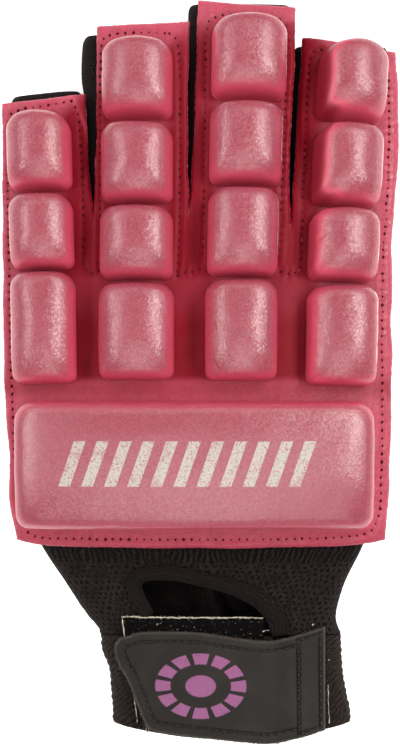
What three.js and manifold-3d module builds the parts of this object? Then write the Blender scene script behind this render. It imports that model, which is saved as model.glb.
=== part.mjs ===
// Field hockey glove for the left hand, lying palm down.
// Millimetres. +Y runs to the fingertips, +X to the index finger side, +Z up off the table.
import * as THREE from 'three';
import { mergeVertices } from 'three/addons/utils/BufferGeometryUtils.js';
import Module from 'manifold-3d';

const wasm = await Module();
wasm.setup();

// Driving dimensions
const GAP = 0.3;
const SHEET = 3.0;
const FABRIC = 1.2;
const BAND = 2.0;
const FINGER_PAD_HEIGHT = 10.5;
const KNUCKLE_PAD_HEIGHT = 13.0;
const PAD_CORNER = 4.2;
const KNUCKLE_CORNER = 5.0;
const PAD_FACET = 12.0;
const PAD_CROWN = 0.03;
const WIDE_PAD = 0.4;
const TIP_ROUND = 7.0;
const TUBE_LOW_ROUND = 5.5;
const TUBE_HIGH_ROUND = 4.0;
const ROUND_MIDWAY = 0.3;
const TIP_DROP = 0.6;

// Where the tubes of cloth meet each other, measured along the hand
const FINGER_BASE = 38.0;
const PALM_END = -43.0;
const GAUNTLET_END = -74.0;
const CUFF_END = -99.0;
const CUFF_BOW = 4.0;

// Height of the back of the glove, its arch across the hand, and where that arch is centred
const BACK = [
  { along: 110, crown: 13.0, fall: 7.0, centre: 0, half: 55 },
  { along: 95, crown: 16.0, fall: 7.0, centre: 0, half: 55 },
  { along: 75, crown: 20.0, fall: 7.0, centre: 0, half: 55 },
  { along: 50, crown: 23.5, fall: 7.0, centre: 0, half: 55 },
  { along: 20, crown: 26.2, fall: 7.0, centre: 0, half: 55 },
  { along: -12, crown: 27.4, fall: 7.0, centre: 0, half: 55 },
  { along: -34, crown: 26.8, fall: 7.0, centre: 0, half: 54 },
  { along: -50, crown: 25.0, fall: 6.6, centre: 1, half: 52 },
  { along: -62, crown: 23.4, fall: 6.2, centre: 3.5, half: 42 },
  { along: -74, crown: 22.6, fall: 6.0, centre: 6, half: 34 },
  { along: -104, crown: 23.0, fall: 6.0, centre: 8, half: 34 },
];

// Outer edges of the pink sheet
const SHEET_LEFT = [
  { along: 74.8, across: -55.7 },
  { along: -2, across: -54.6 },
  { along: -22, across: -53.5 },
  { along: -36, across: -53.2 },
  { along: -47, across: -50.7 },
];
const SHEET_RIGHT = [
  { along: 90.2, across: 54.9 },
  { along: 74, across: 55.4 },
  { along: 58, across: 55.2 },
  { along: 41, across: 53.8 },
  { along: -8, across: 53.5 },
  { along: -36, across: 52.6 },
  { along: -47, across: 51.0 },
];
const SHEET_BOTTOM = -49.0;
const CROTCH = 43.0;
const SHEET_GRID = { handRows: 8, fingerRows: 6, columns: 5 };

// Slits between the finger strips: the closed end, then the two edges out to the tips
const SLITS = [
  {
    end: { along: 44.0, across: -30.0 },
    left: [{ along: 78.1, across: -32.2 }, { along: 62, across: -31.4 }],
    right: [{ along: 96.9, across: -29.1 }, { along: 62, across: -29.1 }],
  },
  {
    end: { along: 44.5, across: -3.1 },
    left: [{ along: 98.0, across: -3.4 }, { along: 70, across: -3.5 }],
    right: [{ along: 102.8, across: -0.6 }, { along: 70, across: -1.6 }],
  },
  {
    end: { along: 41.0, across: 25.3 },
    left: [{ along: 101.0, across: 27.2 }, { along: 79, across: 26.3 }, { along: 60, across: 25.0 }],
    right: [{ along: 94.0, across: 28.7 }, { along: 69, across: 27.2 }],
  },
];

// Moulded finger pads, tip pad first: middle of the foot, its width and its length
const FINGERS = [
  {
    name: 'pinky',
    pads: [
      { across: -44.3, along: 60.7, width: 17.2, length: 20.6, turn: 2 },
      { across: -43.6, along: 38.3, width: 17.0, length: 20.1, turn: 2 },
      { across: -42.9, along: 11.8, width: 17.2, length: 30.4, turn: 1 },
    ],
  },
  {
    name: 'ring',
    pads: [
      { across: -17.3, along: 80.7, width: 19.3, length: 20.2, turn: 0 },
      { across: -17.3, along: 57.3, width: 19.5, length: 21.0, turn: 0 },
      { across: -17.4, along: 35.2, width: 19.9, length: 19.4, turn: 0 },
      { across: -17.4, along: 10.9, width: 20.4, length: 26.2, turn: 0 },
    ],
  },
  {
    name: 'middle',
    pads: [
      { across: 13.6, along: 86.7, width: 20.8, length: 21.0, turn: -1 },
      { across: 12.6, along: 62.5, width: 20.0, length: 21.4, turn: -1 },
      { across: 11.7, along: 38.0, width: 19.3, length: 23.4, turn: -1 },
      { across: 11.2, along: 11.2, width: 19.6, length: 27.3, turn: 0 },
    ],
  },
  {
    name: 'index',
    pads: [
      { across: 42.0, along: 80.0, width: 18.2, length: 19.9, turn: -3 },
      { across: 40.7, along: 56.7, width: 18.8, length: 21.6, turn: -3 },
      { across: 39.3, along: 34.6, width: 18.5, length: 19.4, turn: -2 },
      { across: 38.8, along: 9.8, width: 18.8, length: 27.4, turn: -1 },
    ],
  },
];
const KNUCKLE = { across: -1.5, along: -25.4, width: 96.2, length: 34.6, turn: 0 };

// Rise of a pad above its foot, in shares of its height, and how far its wall draws in
const PAD_PROFILE = [
  { rise: 0.0, inset: 0.3 },
  { rise: 0.4, inset: 0.0 },
  { rise: 0.78, inset: 0.7 },
  { rise: 0.94, inset: 2.3 },
  { rise: 1.0, inset: 5.2 },
];

// Cloth finger sleeves, from the base to the tip: both sides of the tube
const SLEEVES = {
  pinky: [
    { along: 38, left: -53.6, right: -30.6 },
    { along: 60, left: -54.2, right: -32.0 },
    { along: 77.2, left: -54.0, right: -33.4 },
  ],
  ring: [
    { along: 38, left: -29.9, right: -3.9 },
    { along: 62, left: -31.2, right: -4.4 },
    { along: 74, left: -31.4, right: -4.4 },
    { along: 83, left: -33.4, right: -4.4 },
    { along: 92, left: -33.0, right: -4.6 },
    { along: 97.4, left: -29.6, right: -5.0 },
  ],
  middle: [
    { along: 38, left: -3.2, right: 24.4 },
    { along: 70, left: -3.6, right: 25.6 },
    { along: 101.8, left: -3.0, right: 26.0 },
  ],
  index: [
    { along: 38, left: 25.4, right: 52.4 },
    { along: 70, left: 26.5, right: 53.8 },
    { along: 92.4, left: 27.6, right: 53.6 },
  ],
};

const SLEEVE_RINGS = [50, 62, 74, 84, 92];
const TIP_SHARES = [0.62, 0.9, 1];
const TIP_FULLNESS = 0.96;

// Sides of the cloth hand, from the finger bases to the end of the cuff
const HAND_SIDES = [
  { along: 38, left: -53.4, right: 52.2 },
  { along: 0, left: -53.2, right: 52.0 },
  { along: -30, left: -51.6, right: 51.2 },
  { along: -43, left: -46.5, right: 47.0 },
  { along: -49, left: -43.8, right: 44.8 },
  { along: -60, left: -37.0, right: 40.2 },
  { along: -69, left: -30.6, right: 38.0 },
  { along: -74, left: -27.3, right: 38.0 },
  { along: -84, left: -25.4, right: 39.4 },
  { along: -99, left: -23.6, right: 41.7 },
];

const PALM_RINGS = [-30, -12, 4, 20];
const GAUNTLET_RINGS = [-68, -62, -56, -49];
const CUFF_RINGS = [
  { along: CUFF_END, bow: CUFF_BOW },
  { along: -92, bow: CUFF_BOW * 0.6 },
  { along: -83, bow: CUFF_BOW * 0.2 },
  { along: GAUNTLET_END - GAP },
];

// Vent in the back of the gauntlet, and the middle line of the knit tape round it
const VENT = [
  { across: -10.5, along: -75 },
  { across: -12.8, along: -68 },
  { across: -15.8, along: -61 },
  { across: -15.4, along: -59.2 },
  { across: -5, along: -59.4 },
  { across: 3.6, along: -61.4 },
  { across: 9.8, along: -63.2 },
  { across: 15.4, along: -66.2 },
  { across: 18.4, along: -70 },
  { across: 20.4, along: -75 },
];
const BINDING = [
  { across: -14.4, along: -67.2 },
  { across: -16.6, along: -62.8 },
  { across: -17.6, along: -58.8 },
  { across: -14.0, along: -57.1 },
  { across: -5.2, along: -57.3 },
  { across: 3.8, along: -59.1 },
  { across: 11.2, along: -61.3 },
  { across: 17.4, along: -64.6 },
  { across: 20.8, along: -69.0 },
  { across: 22.4, along: -73.4 },
];
const BINDING_WIDTH = 3.2;
const BINDING_HEIGHT = 1.8;
const BINDING_STEPS = 22;
const BINDING_SECTION = [
  { out: -0.5, up: 0 },
  { out: -0.42, up: 0.75 },
  { out: 0, up: 1 },
  { out: 0.42, up: 0.75 },
  { out: 0.5, up: 0 },
];

// Closure: the loop patch on the cuff, then the tab that presses onto it
const PATCH = { left: -22.2, right: 18.6, top: -68.8, bottom: -98.5, thick: 1.6 };
const PATCH_COLUMNS = 8;
const PLATE_ROWS = 4;
const TAB_THICK = 2.0;
const TAB_COLUMNS = 14;
const TAB = [
  { across: -24.0, top: -77.0, bottom: -79.0 },
  { across: -22.6, top: -74.9, bottom: -82.6 },
  { across: -20.0, top: -74.0, bottom: -87.0 },
  { across: -17.2, top: -73.0, bottom: -94.0 },
  { across: -14.6, top: -72.8, bottom: -99.4 },
  { across: -9.0, top: -72.6, bottom: -101.0 },
  { across: 0, top: -72.8, bottom: -102.0 },
  { across: 11, top: -74.4, bottom: -103.2 },
  { across: 20, top: -75.2, bottom: -103.4 },
  { across: 28, top: -73.9, bottom: -102.3 },
  { across: 35.8, top: -71.6, bottom: -100.6 },
];
const TAB_SEAT = { lifted: 19.3, seated: 26.5 };

// Round way into the hand for the thumb, on the index finger side
const THUMB = { along: -18, up: 9.2, long: 25, high: 11, from: 38, to: 62 };
const CUFF_SPLIT = { left: 20.5, right: 25.5, wrist: -110, hand: -70 };

// Heights between which a cut goes through the back of a tube and not through its palm side
const BACK_CUT = { from: 9.5, to: 40 };

// Colour and roughness of each material
const FOAM_SKIN = { color: '#c5677a', roughness: 0.42 };
const SHEET_SKIN = { color: '#a8475a', roughness: 0.6 };
const BLACK_CLOTH = { color: '#2a2222', roughness: 0.9 };
const BLACK_KNIT = { color: '#2a2222', roughness: 0.95 };
const BLACK_PILE = { color: '#2a2222', roughness: 1.0 };
const BLACK_COATED = { color: '#342f2c', roughness: 0.55 };

// Points closer than this are one corner of a mesh
const WELD = 1e-4;

// Value of one column of a table at a place along it, on a smooth curve through its rows
function read(rows, column, place, key = 'along') {
  const sorted = [...rows].sort((a, b) => a[key] - b[key]);
  const last = sorted.length - 1;
  const held = Math.min(Math.max(place, sorted[0][key]), sorted[last][key]);
  let i = 0;
  while (i < last - 1 && held > sorted[i + 1][key]) i += 1;
  const low = sorted[i];
  const high = sorted[i + 1];
  const span = high[key] - low[key];
  const slopeAt = (n) => {
    const before = sorted[Math.max(n - 1, 0)];
    const after = sorted[Math.min(n + 1, last)];
    return (after[column] - before[column]) / (after[key] - before[key]);
  };
  const t = (held - low[key]) / span;
  const bend = (2 * t - 3) * t * t;
  return low[column] * (1 + bend) - high[column] * bend
    + slopeAt(i) * span * t * (1 - t) * (1 - t)
    + slopeAt(i + 1) * span * t * t * (t - 1);
}

// Height of the outer face of the pink sheet, and of the cloth under it
function backHeight(across, along) {
  const off = (across - read(BACK, 'centre', along)) / read(BACK, 'half', along);
  return read(BACK, 'crown', along) - read(BACK, 'fall', along) * off * off;
}

function clothHeight(across, along) {
  return backHeight(across, along) - SHEET - GAP;
}

// Collects triangles and turns them into a closed geometry
class Skin {
  constructor() {
    this.corners = [];
  }

  triangle(a, b, c) {
    for (const point of [a, b, c]) this.corners.push(point.x, point.y, point.z);
  }

  quad(a, b, c, d) {
    this.triangle(a, b, c);
    this.triangle(a, c, d);
  }

  // Strip between two rings, the first on the wrist side, facing out of the tube
  strip(near, far, inward = false) {
    near.forEach((point, k) => {
      const next = (k + 1) % near.length;
      if (inward) this.quad(point, near[next], far[next], far[k]);
      else this.quad(point, far[k], far[next], near[next]);
    });
  }

  // Flat ring between the outside and the inside of a tube's open end
  rim(outer, inner, facesTip) {
    outer.forEach((point, k) => {
      const next = (k + 1) % outer.length;
      if (facesTip) this.quad(point, inner[k], inner[next], outer[next]);
      else this.quad(point, outer[next], inner[next], inner[k]);
    });
  }

  // Fan that closes a ring
  fan(ring, facesTip) {
    const middle = new THREE.Vector3();
    ring.forEach((point) => middle.add(point));
    middle.divideScalar(ring.length);
    ring.forEach((point, k) => {
      const next = ring[(k + 1) % ring.length];
      if (facesTip) this.triangle(next, point, middle);
      else this.triangle(point, next, middle);
    });
  }

  // Rings in order, anticlockwise seen from outside, the last one possibly a line or a point
  stack(rings) {
    for (let i = 0; i < rings.length - 1; i += 1) {
      const [low, high] = [rings[i], rings[i + 1]];
      low.forEach((point, k) => {
        const next = (k + 1) % low.length;
        this.triangle(point, low[next], high[k]);
        if (high[k].distanceTo(high[next]) > WELD * 10) this.triangle(low[next], high[next], high[k]);
      });
    }
  }

  // Plate between two grids of points, rows running to the tips and columns to the index side
  plate(top, bottom) {
    const rows = top.length - 1;
    const columns = top[0].length - 1;
    for (let i = 0; i < rows; i += 1) {
      for (let j = 0; j < columns; j += 1) {
        this.quad(top[i][j], top[i][j + 1], top[i + 1][j + 1], top[i + 1][j]);
        this.quad(bottom[i][j], bottom[i + 1][j], bottom[i + 1][j + 1], bottom[i][j + 1]);
      }
    }
  }

  // Side wall under one edge of a plate, the edge running anticlockwise seen from above
  wall(top, bottom) {
    for (let k = 0; k < top.length - 1; k += 1) {
      this.quad(bottom[k], bottom[k + 1], top[k + 1], top[k]);
    }
  }

  geometry() {
    const raw = new THREE.BufferGeometry();
    raw.setAttribute('position', new THREE.Float32BufferAttribute(this.corners, 3));
    return mergeVertices(raw, WELD);
  }
}

function toSolid(geometry) {
  const bare = geometry.index ? geometry.clone() : geometry;
  bare.deleteAttribute('normal');
  bare.deleteAttribute('uv');
  const merged = mergeVertices(bare, WELD);
  return new wasm.Manifold(new wasm.Mesh({
    numProp: 3,
    vertProperties: new Float32Array(merged.attributes.position.array),
    triVerts: new Uint32Array(merged.index.array),
  }));
}

function toGeometry(solid) {
  const mesh = solid.getMesh();
  const geometry = new THREE.BufferGeometry();
  geometry.setAttribute('position', new THREE.BufferAttribute(mesh.vertProperties, 3));
  geometry.setIndex(new THREE.BufferAttribute(mesh.triVerts, 1));
  return geometry;
}

// One ring of a cloth tube: flat underneath, rounded sides, its top following the back
function tubeRing({ along, left, right, wall, topCount, lowCount, shrink = 0, bow = 0 }) {
  const l = left + wall + shrink;
  const r = right - wall - shrink;
  const low = wall;
  const reach = (x) => clothHeight(x, along) - wall - shrink * TIP_DROP;
  const lowRound = Math.min(TUBE_LOW_ROUND - wall, (r - l) / 3);
  const highRound = Math.min(TUBE_HIGH_ROUND - wall, (r - l) / 3);
  const lowMid = lowRound * ROUND_MIDWAY;
  const highMid = highRound * ROUND_MIDWAY;
  const ring = [];
  const middle = (l + r) / 2;
  const add = (x, z) => {
    const off = (x - middle) / ((r - l) / 2);
    ring.push(new THREE.Vector3(x, along - bow * (1 - off * off), z));
  };
  for (let k = 0; k < lowCount; k += 1) {
    add(THREE.MathUtils.lerp(l + lowRound, r - lowRound, k / (lowCount - 1)), low);
  }
  add(r - lowMid, low + lowMid);
  add(r, low + lowRound);
  add(r, reach(r - highRound) - highRound);
  add(r - highMid, reach(r - highMid) - highMid);
  for (let k = 0; k < topCount; k += 1) {
    const x = THREE.MathUtils.lerp(r - highRound, l + highRound, k / (topCount - 1));
    add(x, reach(x));
  }
  add(l + highMid, reach(l + highMid) - highMid);
  add(l, reach(l + highRound) - highRound);
  add(l, low + lowRound);
  add(l + lowMid, low + lowMid);
  return ring;
}

// Open tube of cloth through the given places along the hand
function handTube(places, wall) {
  const skin = new Skin();
  const ringAt = (place, thickness) => tubeRing({
    along: place.along,
    left: read(HAND_SIDES, 'left', place.along),
    right: read(HAND_SIDES, 'right', place.along),
    wall: thickness,
    topCount: 11,
    lowCount: 6,
    bow: place.bow ?? 0,
  });
  const outer = places.map((place) => ringAt(place, 0));
  const inner = places.map((place) => ringAt(place, wall));
  for (let i = 0; i < places.length - 1; i += 1) {
    skin.strip(outer[i], outer[i + 1]);
    skin.strip(inner[i], inner[i + 1], true);
  }
  skin.rim(outer[0], inner[0], false);
  skin.rim(outer[places.length - 1], inner[places.length - 1], true);
  return skin.geometry();
}

// Finger sleeve: open at the base, rounded and closed at the tip
function sleeve(rows) {
  const skin = new Skin();
  const first = FINGER_BASE + GAP;
  const tip = rows[rows.length - 1].along;
  const shoulder = tip - TIP_ROUND;
  const places = [first, ...SLEEVE_RINGS].filter((along) => along < shoulder - GAP * 10);
  places.push(shoulder);
  const ringAt = (along, wall, shrink) => tubeRing({
    along,
    left: read(rows, 'left', along),
    right: read(rows, 'right', along),
    wall,
    topCount: 6,
    lowCount: 4,
    shrink,
  });
  const rounded = (end, wall) => TIP_SHARES.map((share) => {
    const shrink = TIP_ROUND * 0.5 * (1 - Math.sqrt(1 - share * share * TIP_FULLNESS));
    return ringAt(shoulder + (end - shoulder) * share, wall, shrink);
  });
  const outer = places.map((along) => ringAt(along, 0, 0)).concat(rounded(tip, 0));
  const inner = places.map((along) => ringAt(along, FABRIC, 0)).concat(rounded(tip - FABRIC, FABRIC));
  for (let i = 0; i < outer.length - 1; i += 1) {
    skin.strip(outer[i], outer[i + 1]);
    skin.strip(inner[i], inner[i + 1], true);
  }
  skin.rim(outer[0], inner[0], false);
  skin.fan(outer[outer.length - 1], true);
  skin.fan(inner[inner.length - 1], false);
  return skin.geometry();
}

// Rounded rectangle, anticlockwise from above
function padOutline({ width, length }, round) {
  const halfWidth = width / 2;
  const halfLength = length / 2;
  const points = [];
  const corners = [
    { x: halfWidth - round, y: halfLength - round, from: 0 },
    { x: round - halfWidth, y: halfLength - round, from: 90 },
    { x: round - halfWidth, y: round - halfLength, from: 180 },
    { x: halfWidth - round, y: round - halfLength, from: 270 },
  ];
  for (const place of corners) {
    for (const turn of [0, 30, 60, 90]) {
      const angle = THREE.MathUtils.degToRad(place.from + turn);
      points.push({ x: place.x + round * Math.cos(angle), y: place.y + round * Math.sin(angle) });
    }
  }
  return points;
}

// Adds points to the long sides of an outline so that a wide pad follows the arched back
function divideLongSides(points, step) {
  const divided = [];
  points.forEach((point, k) => {
    divided.push(point);
    const next = points[(k + 1) % points.length];
    const parts = Math.round(Math.hypot(next.x - point.x, next.y - point.y) / step);
    for (let n = 1; n < parts; n += 1) {
      divided.push({
        x: THREE.MathUtils.lerp(point.x, next.x, n / parts),
        y: THREE.MathUtils.lerp(point.y, next.y, n / parts),
      });
    }
  });
  return divided;
}

// Moulded foam pad: rings that rise and draw in over the arched back, closed over a spine line
function pad(row, height, corner) {
  const skin = new Skin();
  const turn = THREE.MathUtils.degToRad(row.turn);
  const spineShare = Math.max(1 - row.length / row.width, 0);
  const place = (point, rise) => {
    const x = row.across + point.x * Math.cos(turn) - point.y * Math.sin(turn);
    const y = row.along + point.x * Math.sin(turn) + point.y * Math.cos(turn);
    const seat = backHeight(x, y) + GAP;
    const lean = backHeight(x + 0.5, y) - backHeight(x - 0.5, y);
    const dip = backHeight(x, y + 0.5) - backHeight(x, y - 0.5);
    return new THREE.Vector3(x - lean * rise, y - dip * rise, seat + rise);
  };
  const base = divideLongSides(padOutline(row, corner), PAD_FACET);
  const drawnIn = (inset, rise) => base.map((point) => place({
    x: point.x * (1 - inset / (row.width / 2)),
    y: point.y * (1 - inset / (row.length / 2)),
  }, rise));
  const towardsSpine = (share, rise) => base.map((point) => place({
    x: point.x * THREE.MathUtils.lerp(1, spineShare, share),
    y: point.y * (1 - share),
  }, rise));
  const shares = spineShare > WIDE_PAD ? [0.5, 1] : [1];
  const walls = PAD_PROFILE.map(({ rise, inset }) => drawnIn(inset, rise * height));
  const lid = shares.map((share) => towardsSpine(share, height * (1 + PAD_CROWN * share)));
  const floor = shares.map((share) => towardsSpine(share, 0));
  skin.stack([...walls, ...lid]);
  skin.stack([walls[0], ...floor].map((ring) => [...ring].reverse()));
  return skin.geometry();
}

// Pink sheet: one grid for each finger, joined below the slits and apart above them
function backSheet() {
  const skin = new Skin();
  const { handRows, fingerRows, columns } = SHEET_GRID;
  const line = (rows, from, to, count) => Array.from({ length: count }, (unused, n) => {
    const along = THREE.MathUtils.lerp(from, to, (n + 1) / count);
    return { along, across: read(rows, 'across', along) };
  });
  const outerEdge = (rows) => {
    const tip = rows[0].along;
    const low = rows[rows.length - 1].along;
    const start = { along: low, across: read(rows, 'across', low) };
    return [start, ...line(rows, low, CROTCH, handRows), ...line(rows, CROTCH, tip, fingerRows)];
  };
  const slitEdge = (slit, side) => {
    const hand = Array.from({ length: handRows + 1 }, (unused, n) => ({
      along: THREE.MathUtils.lerp(SHEET_BOTTOM, slit.end.along, n / handRows),
      across: slit.end.across,
    }));
    const edge = [...slit[side], slit.end];
    return [...hand, ...line(edge, slit.end.along, edge[0].along, fingerRows)];
  };
  const bounds = [
    { left: outerEdge(SHEET_LEFT), right: slitEdge(SLITS[0], 'left') },
    { left: slitEdge(SLITS[0], 'right'), right: slitEdge(SLITS[1], 'left') },
    { left: slitEdge(SLITS[1], 'right'), right: slitEdge(SLITS[2], 'left') },
    { left: slitEdge(SLITS[2], 'right'), right: outerEdge(SHEET_RIGHT) },
  ];
  bounds.forEach(({ left, right }, finger) => {
    const grid = (drop) => left.map((edge, i) => Array.from({ length: columns + 1 }, (unused, j) => {
      const share = j / columns;
      const x = THREE.MathUtils.lerp(edge.across, right[i].across, share);
      const bowed = i === 0 && finger === 0 ? 1 - (1 - share) ** 3 : share;
      const eased = i === 0 && finger === bounds.length - 1 ? share ** 3 : bowed;
      const y = THREE.MathUtils.lerp(edge.along, right[i].along, eased);
      return new THREE.Vector3(x, y, backHeight(x, y) - drop);
    }));
    const top = grid(0);
    const bottom = grid(SHEET);
    const last = top.length - 1;
    skin.plate(top, bottom);
    skin.wall(top[0], bottom[0]);
    skin.wall([...top[last]].reverse(), [...bottom[last]].reverse());
    const rightFrom = finger === bounds.length - 1 ? 0 : handRows;
    const leftFrom = finger === 0 ? 0 : handRows;
    const edgeOf = (rows, j, from) => rows.slice(from).map((row) => row[j]);
    skin.wall(edgeOf(top, columns, rightFrom), edgeOf(bottom, columns, rightFrom));
    skin.wall(edgeOf(top, 0, leftFrom).reverse(), edgeOf(bottom, 0, leftFrom).reverse());
  });
  return skin.geometry();
}

// Thin plate on the back, cut between two edge lines, at a height above the cloth
function platePiece(columns, thick, liftAt) {
  const skin = new Skin();
  const rows = PLATE_ROWS;
  const grid = (extra) => Array.from({ length: rows + 1 }, (unused, i) => columns.map((column) => {
    const y = THREE.MathUtils.lerp(column.bottom, column.top, i / rows);
    const x = column.across;
    return new THREE.Vector3(x, y, clothHeight(x, y) + liftAt(x) + extra);
  }));
  const top = grid(thick);
  const bottom = grid(0);
  const last = top[0].length - 1;
  skin.plate(top, bottom);
  skin.wall(top[0], bottom[0]);
  skin.wall(top.map((row) => row[last]), bottom.map((row) => row[last]));
  skin.wall([...top[rows]].reverse(), [...bottom[rows]].reverse());
  skin.wall(top.map((row) => row[0]).reverse(), bottom.map((row) => row[0]).reverse());
  return skin.geometry();
}

// Solid that cuts an outline through the back of a tube
function backCutter(outline) {
  const shape = new THREE.Shape(outline.map(({ across, along }) => new THREE.Vector2(across, along)));
  const cutter = new THREE.ExtrudeGeometry(shape, {
    depth: BACK_CUT.to - BACK_CUT.from,
    bevelEnabled: false,
  });
  cutter.translate(0, 0, BACK_CUT.from);
  return toSolid(cutter);
}

// Palm and back of the hand, with the thumb's hole cut through its side
function palmBody() {
  const places = [PALM_END, ...PALM_RINGS, FINGER_BASE].map((along) => ({ along }));
  const tube = toSolid(handTube(places, FABRIC));
  const hole = new THREE.Shape();
  hole.absellipse(0, 0, THUMB.long / 2, THUMB.high / 2, 0, Math.PI * 2);
  const cutter = new THREE.ExtrudeGeometry(hole, {
    depth: THUMB.to - THUMB.from,
    bevelEnabled: false,
    curveSegments: 10,
  });
  cutter.rotateX(Math.PI / 2);
  cutter.rotateZ(Math.PI / 2);
  cutter.translate(THUMB.from, THUMB.along, THUMB.up);
  return toGeometry(tube.subtract(toSolid(cutter)));
}

// Mesh gauntlet, with the vent cut through its back only
function gauntlet() {
  const places = [GAUNTLET_END, ...GAUNTLET_RINGS, PALM_END - GAP].map((along) => ({ along }));
  return toGeometry(toSolid(handTube(places, FABRIC)).subtract(backCutter(VENT)));
}

// Elastic cuff, split at the back where the tab crosses it
function wristBand() {
  const split = [
    { across: CUFF_SPLIT.left, along: CUFF_SPLIT.wrist },
    { across: CUFF_SPLIT.right, along: CUFF_SPLIT.wrist },
    { across: CUFF_SPLIT.right, along: CUFF_SPLIT.hand },
    { across: CUFF_SPLIT.left, along: CUFF_SPLIT.hand },
  ];
  return toGeometry(toSolid(handTube(CUFF_RINGS, BAND)).subtract(backCutter(split)));
}

// Knit tape that follows the vent, a rounded ridge on the cloth
function ventBinding() {
  const skin = new Skin();
  const curve = new THREE.CatmullRomCurve3(
    BINDING.map(({ across, along }) => new THREE.Vector3(across, along, 0)),
  );
  const rings = Array.from({ length: BINDING_STEPS + 1 }, (unused, n) => {
    const centre = curve.getPointAt(n / BINDING_STEPS);
    const heading = curve.getTangentAt(n / BINDING_STEPS);
    return BINDING_SECTION.map(({ out, up }) => {
      const x = centre.x + heading.y * out * BINDING_WIDTH;
      const y = centre.y - heading.x * out * BINDING_WIDTH;
      return new THREE.Vector3(x, y, clothHeight(x, y) + GAP + up * BINDING_HEIGHT);
    });
  });
  for (let n = 0; n < BINDING_STEPS; n += 1) {
    skin.strip(rings[n], rings[n + 1], true);
  }
  skin.fan(rings[0], true);
  skin.fan(rings[BINDING_STEPS], false);
  return skin.geometry();
}

function loopPatch() {
  const columns = Array.from({ length: PATCH_COLUMNS + 1 }, (unused, n) => ({
    across: THREE.MathUtils.lerp(PATCH.left, PATCH.right, n / PATCH_COLUMNS),
    top: PATCH.top,
    bottom: PATCH.bottom,
  }));
  return platePiece(columns, PATCH.thick, () => GAP);
}

function strapTab() {
  const first = TAB[0].across;
  const last = TAB[TAB.length - 1].across;
  const columns = Array.from({ length: TAB_COLUMNS + 1 }, (unused, n) => {
    const across = THREE.MathUtils.lerp(first, last, n / TAB_COLUMNS);
    return {
      across,
      top: read(TAB, 'top', across, 'across'),
      bottom: read(TAB, 'bottom', across, 'across'),
    };
  });
  const lifted = GAP + PATCH.thick + GAP;
  const lift = (x) => {
    const share = THREE.MathUtils.smoothstep(x, TAB_SEAT.lifted, TAB_SEAT.seated);
    return THREE.MathUtils.lerp(lifted, GAP, share);
  };
  return platePiece(columns, TAB_THICK, lift);
}

function piece(name, geometry, finish) {
  const mesh = new THREE.Mesh(geometry, new THREE.MeshStandardMaterial({ ...finish, metalness: 0 }));
  mesh.name = name;
  return mesh;
}

const glove = new THREE.Group();
glove.add(piece('back_sheet', backSheet(), SHEET_SKIN));
glove.add(piece('knuckle_pad', pad(KNUCKLE, KNUCKLE_PAD_HEIGHT, KNUCKLE_CORNER), FOAM_SKIN));
for (const finger of FINGERS) {
  finger.pads.forEach((row, n) => {
    const geometry = pad(row, FINGER_PAD_HEIGHT, PAD_CORNER);
    glove.add(piece(`${finger.name}_pad_${n + 1}`, geometry, FOAM_SKIN));
  });
  glove.add(piece(`${finger.name}_sleeve`, sleeve(SLEEVES[finger.name]), BLACK_CLOTH));
}
glove.add(piece('palm_body', palmBody(), BLACK_CLOTH));
glove.add(piece('gauntlet', gauntlet(), BLACK_KNIT));
glove.add(piece('vent_binding', ventBinding(), BLACK_KNIT));
glove.add(piece('wrist_band', wristBand(), BLACK_CLOTH));
glove.add(piece('loop_patch', loopPatch(), BLACK_PILE));
glove.add(piece('strap_tab', strapTab(), BLACK_COATED));

// Origin under the middle of the glove, on the table
const extent = new THREE.Box3().setFromObject(glove);
const middle = extent.getCenter(new THREE.Vector3());
glove.position.set(-middle.x, -middle.y, -extent.min.z);

export default glove;
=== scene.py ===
# Field hockey glove for the left hand, lying palm down: its looks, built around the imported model.
# Shapes are worked out in millimetres in the glove's own plan and become metres in the frame.
import math

import bmesh
import bpy
import numpy as np
from bpy.props import FloatProperty, FloatVectorProperty, PointerProperty
from mathutils import Matrix, Vector, kdtree


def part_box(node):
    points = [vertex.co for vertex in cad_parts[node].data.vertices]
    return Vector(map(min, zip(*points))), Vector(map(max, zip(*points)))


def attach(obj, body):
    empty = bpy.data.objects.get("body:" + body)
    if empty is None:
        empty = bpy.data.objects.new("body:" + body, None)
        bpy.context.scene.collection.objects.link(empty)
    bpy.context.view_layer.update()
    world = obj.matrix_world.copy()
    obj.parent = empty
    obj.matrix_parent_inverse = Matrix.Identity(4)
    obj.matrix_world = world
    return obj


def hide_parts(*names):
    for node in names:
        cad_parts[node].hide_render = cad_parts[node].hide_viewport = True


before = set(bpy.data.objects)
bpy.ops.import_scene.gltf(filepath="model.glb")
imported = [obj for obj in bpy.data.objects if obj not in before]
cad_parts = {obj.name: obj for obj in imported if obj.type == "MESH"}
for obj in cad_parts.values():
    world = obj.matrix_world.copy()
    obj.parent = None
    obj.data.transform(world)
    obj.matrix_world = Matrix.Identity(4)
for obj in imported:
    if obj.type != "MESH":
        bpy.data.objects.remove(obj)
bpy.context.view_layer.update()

bl_info = {
    "name": "Field Hockey Glove",
    "version": (1, 0, 0),
    "blender": (4, 5, 0),
    "location": "3D View > Sidebar > Glove",
    "description": "Builds a left-hand field hockey glove with moulded foam pads over a black knit hand",
    "category": "Add Mesh",
}

MM = 0.001


# Tables with named columns, in millimetres

def table(columns, *rows):
    """Rows of numbers as a list of dictionaries with the named columns."""
    names = columns.split()
    return [dict(zip(names, row)) for row in rows]


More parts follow.
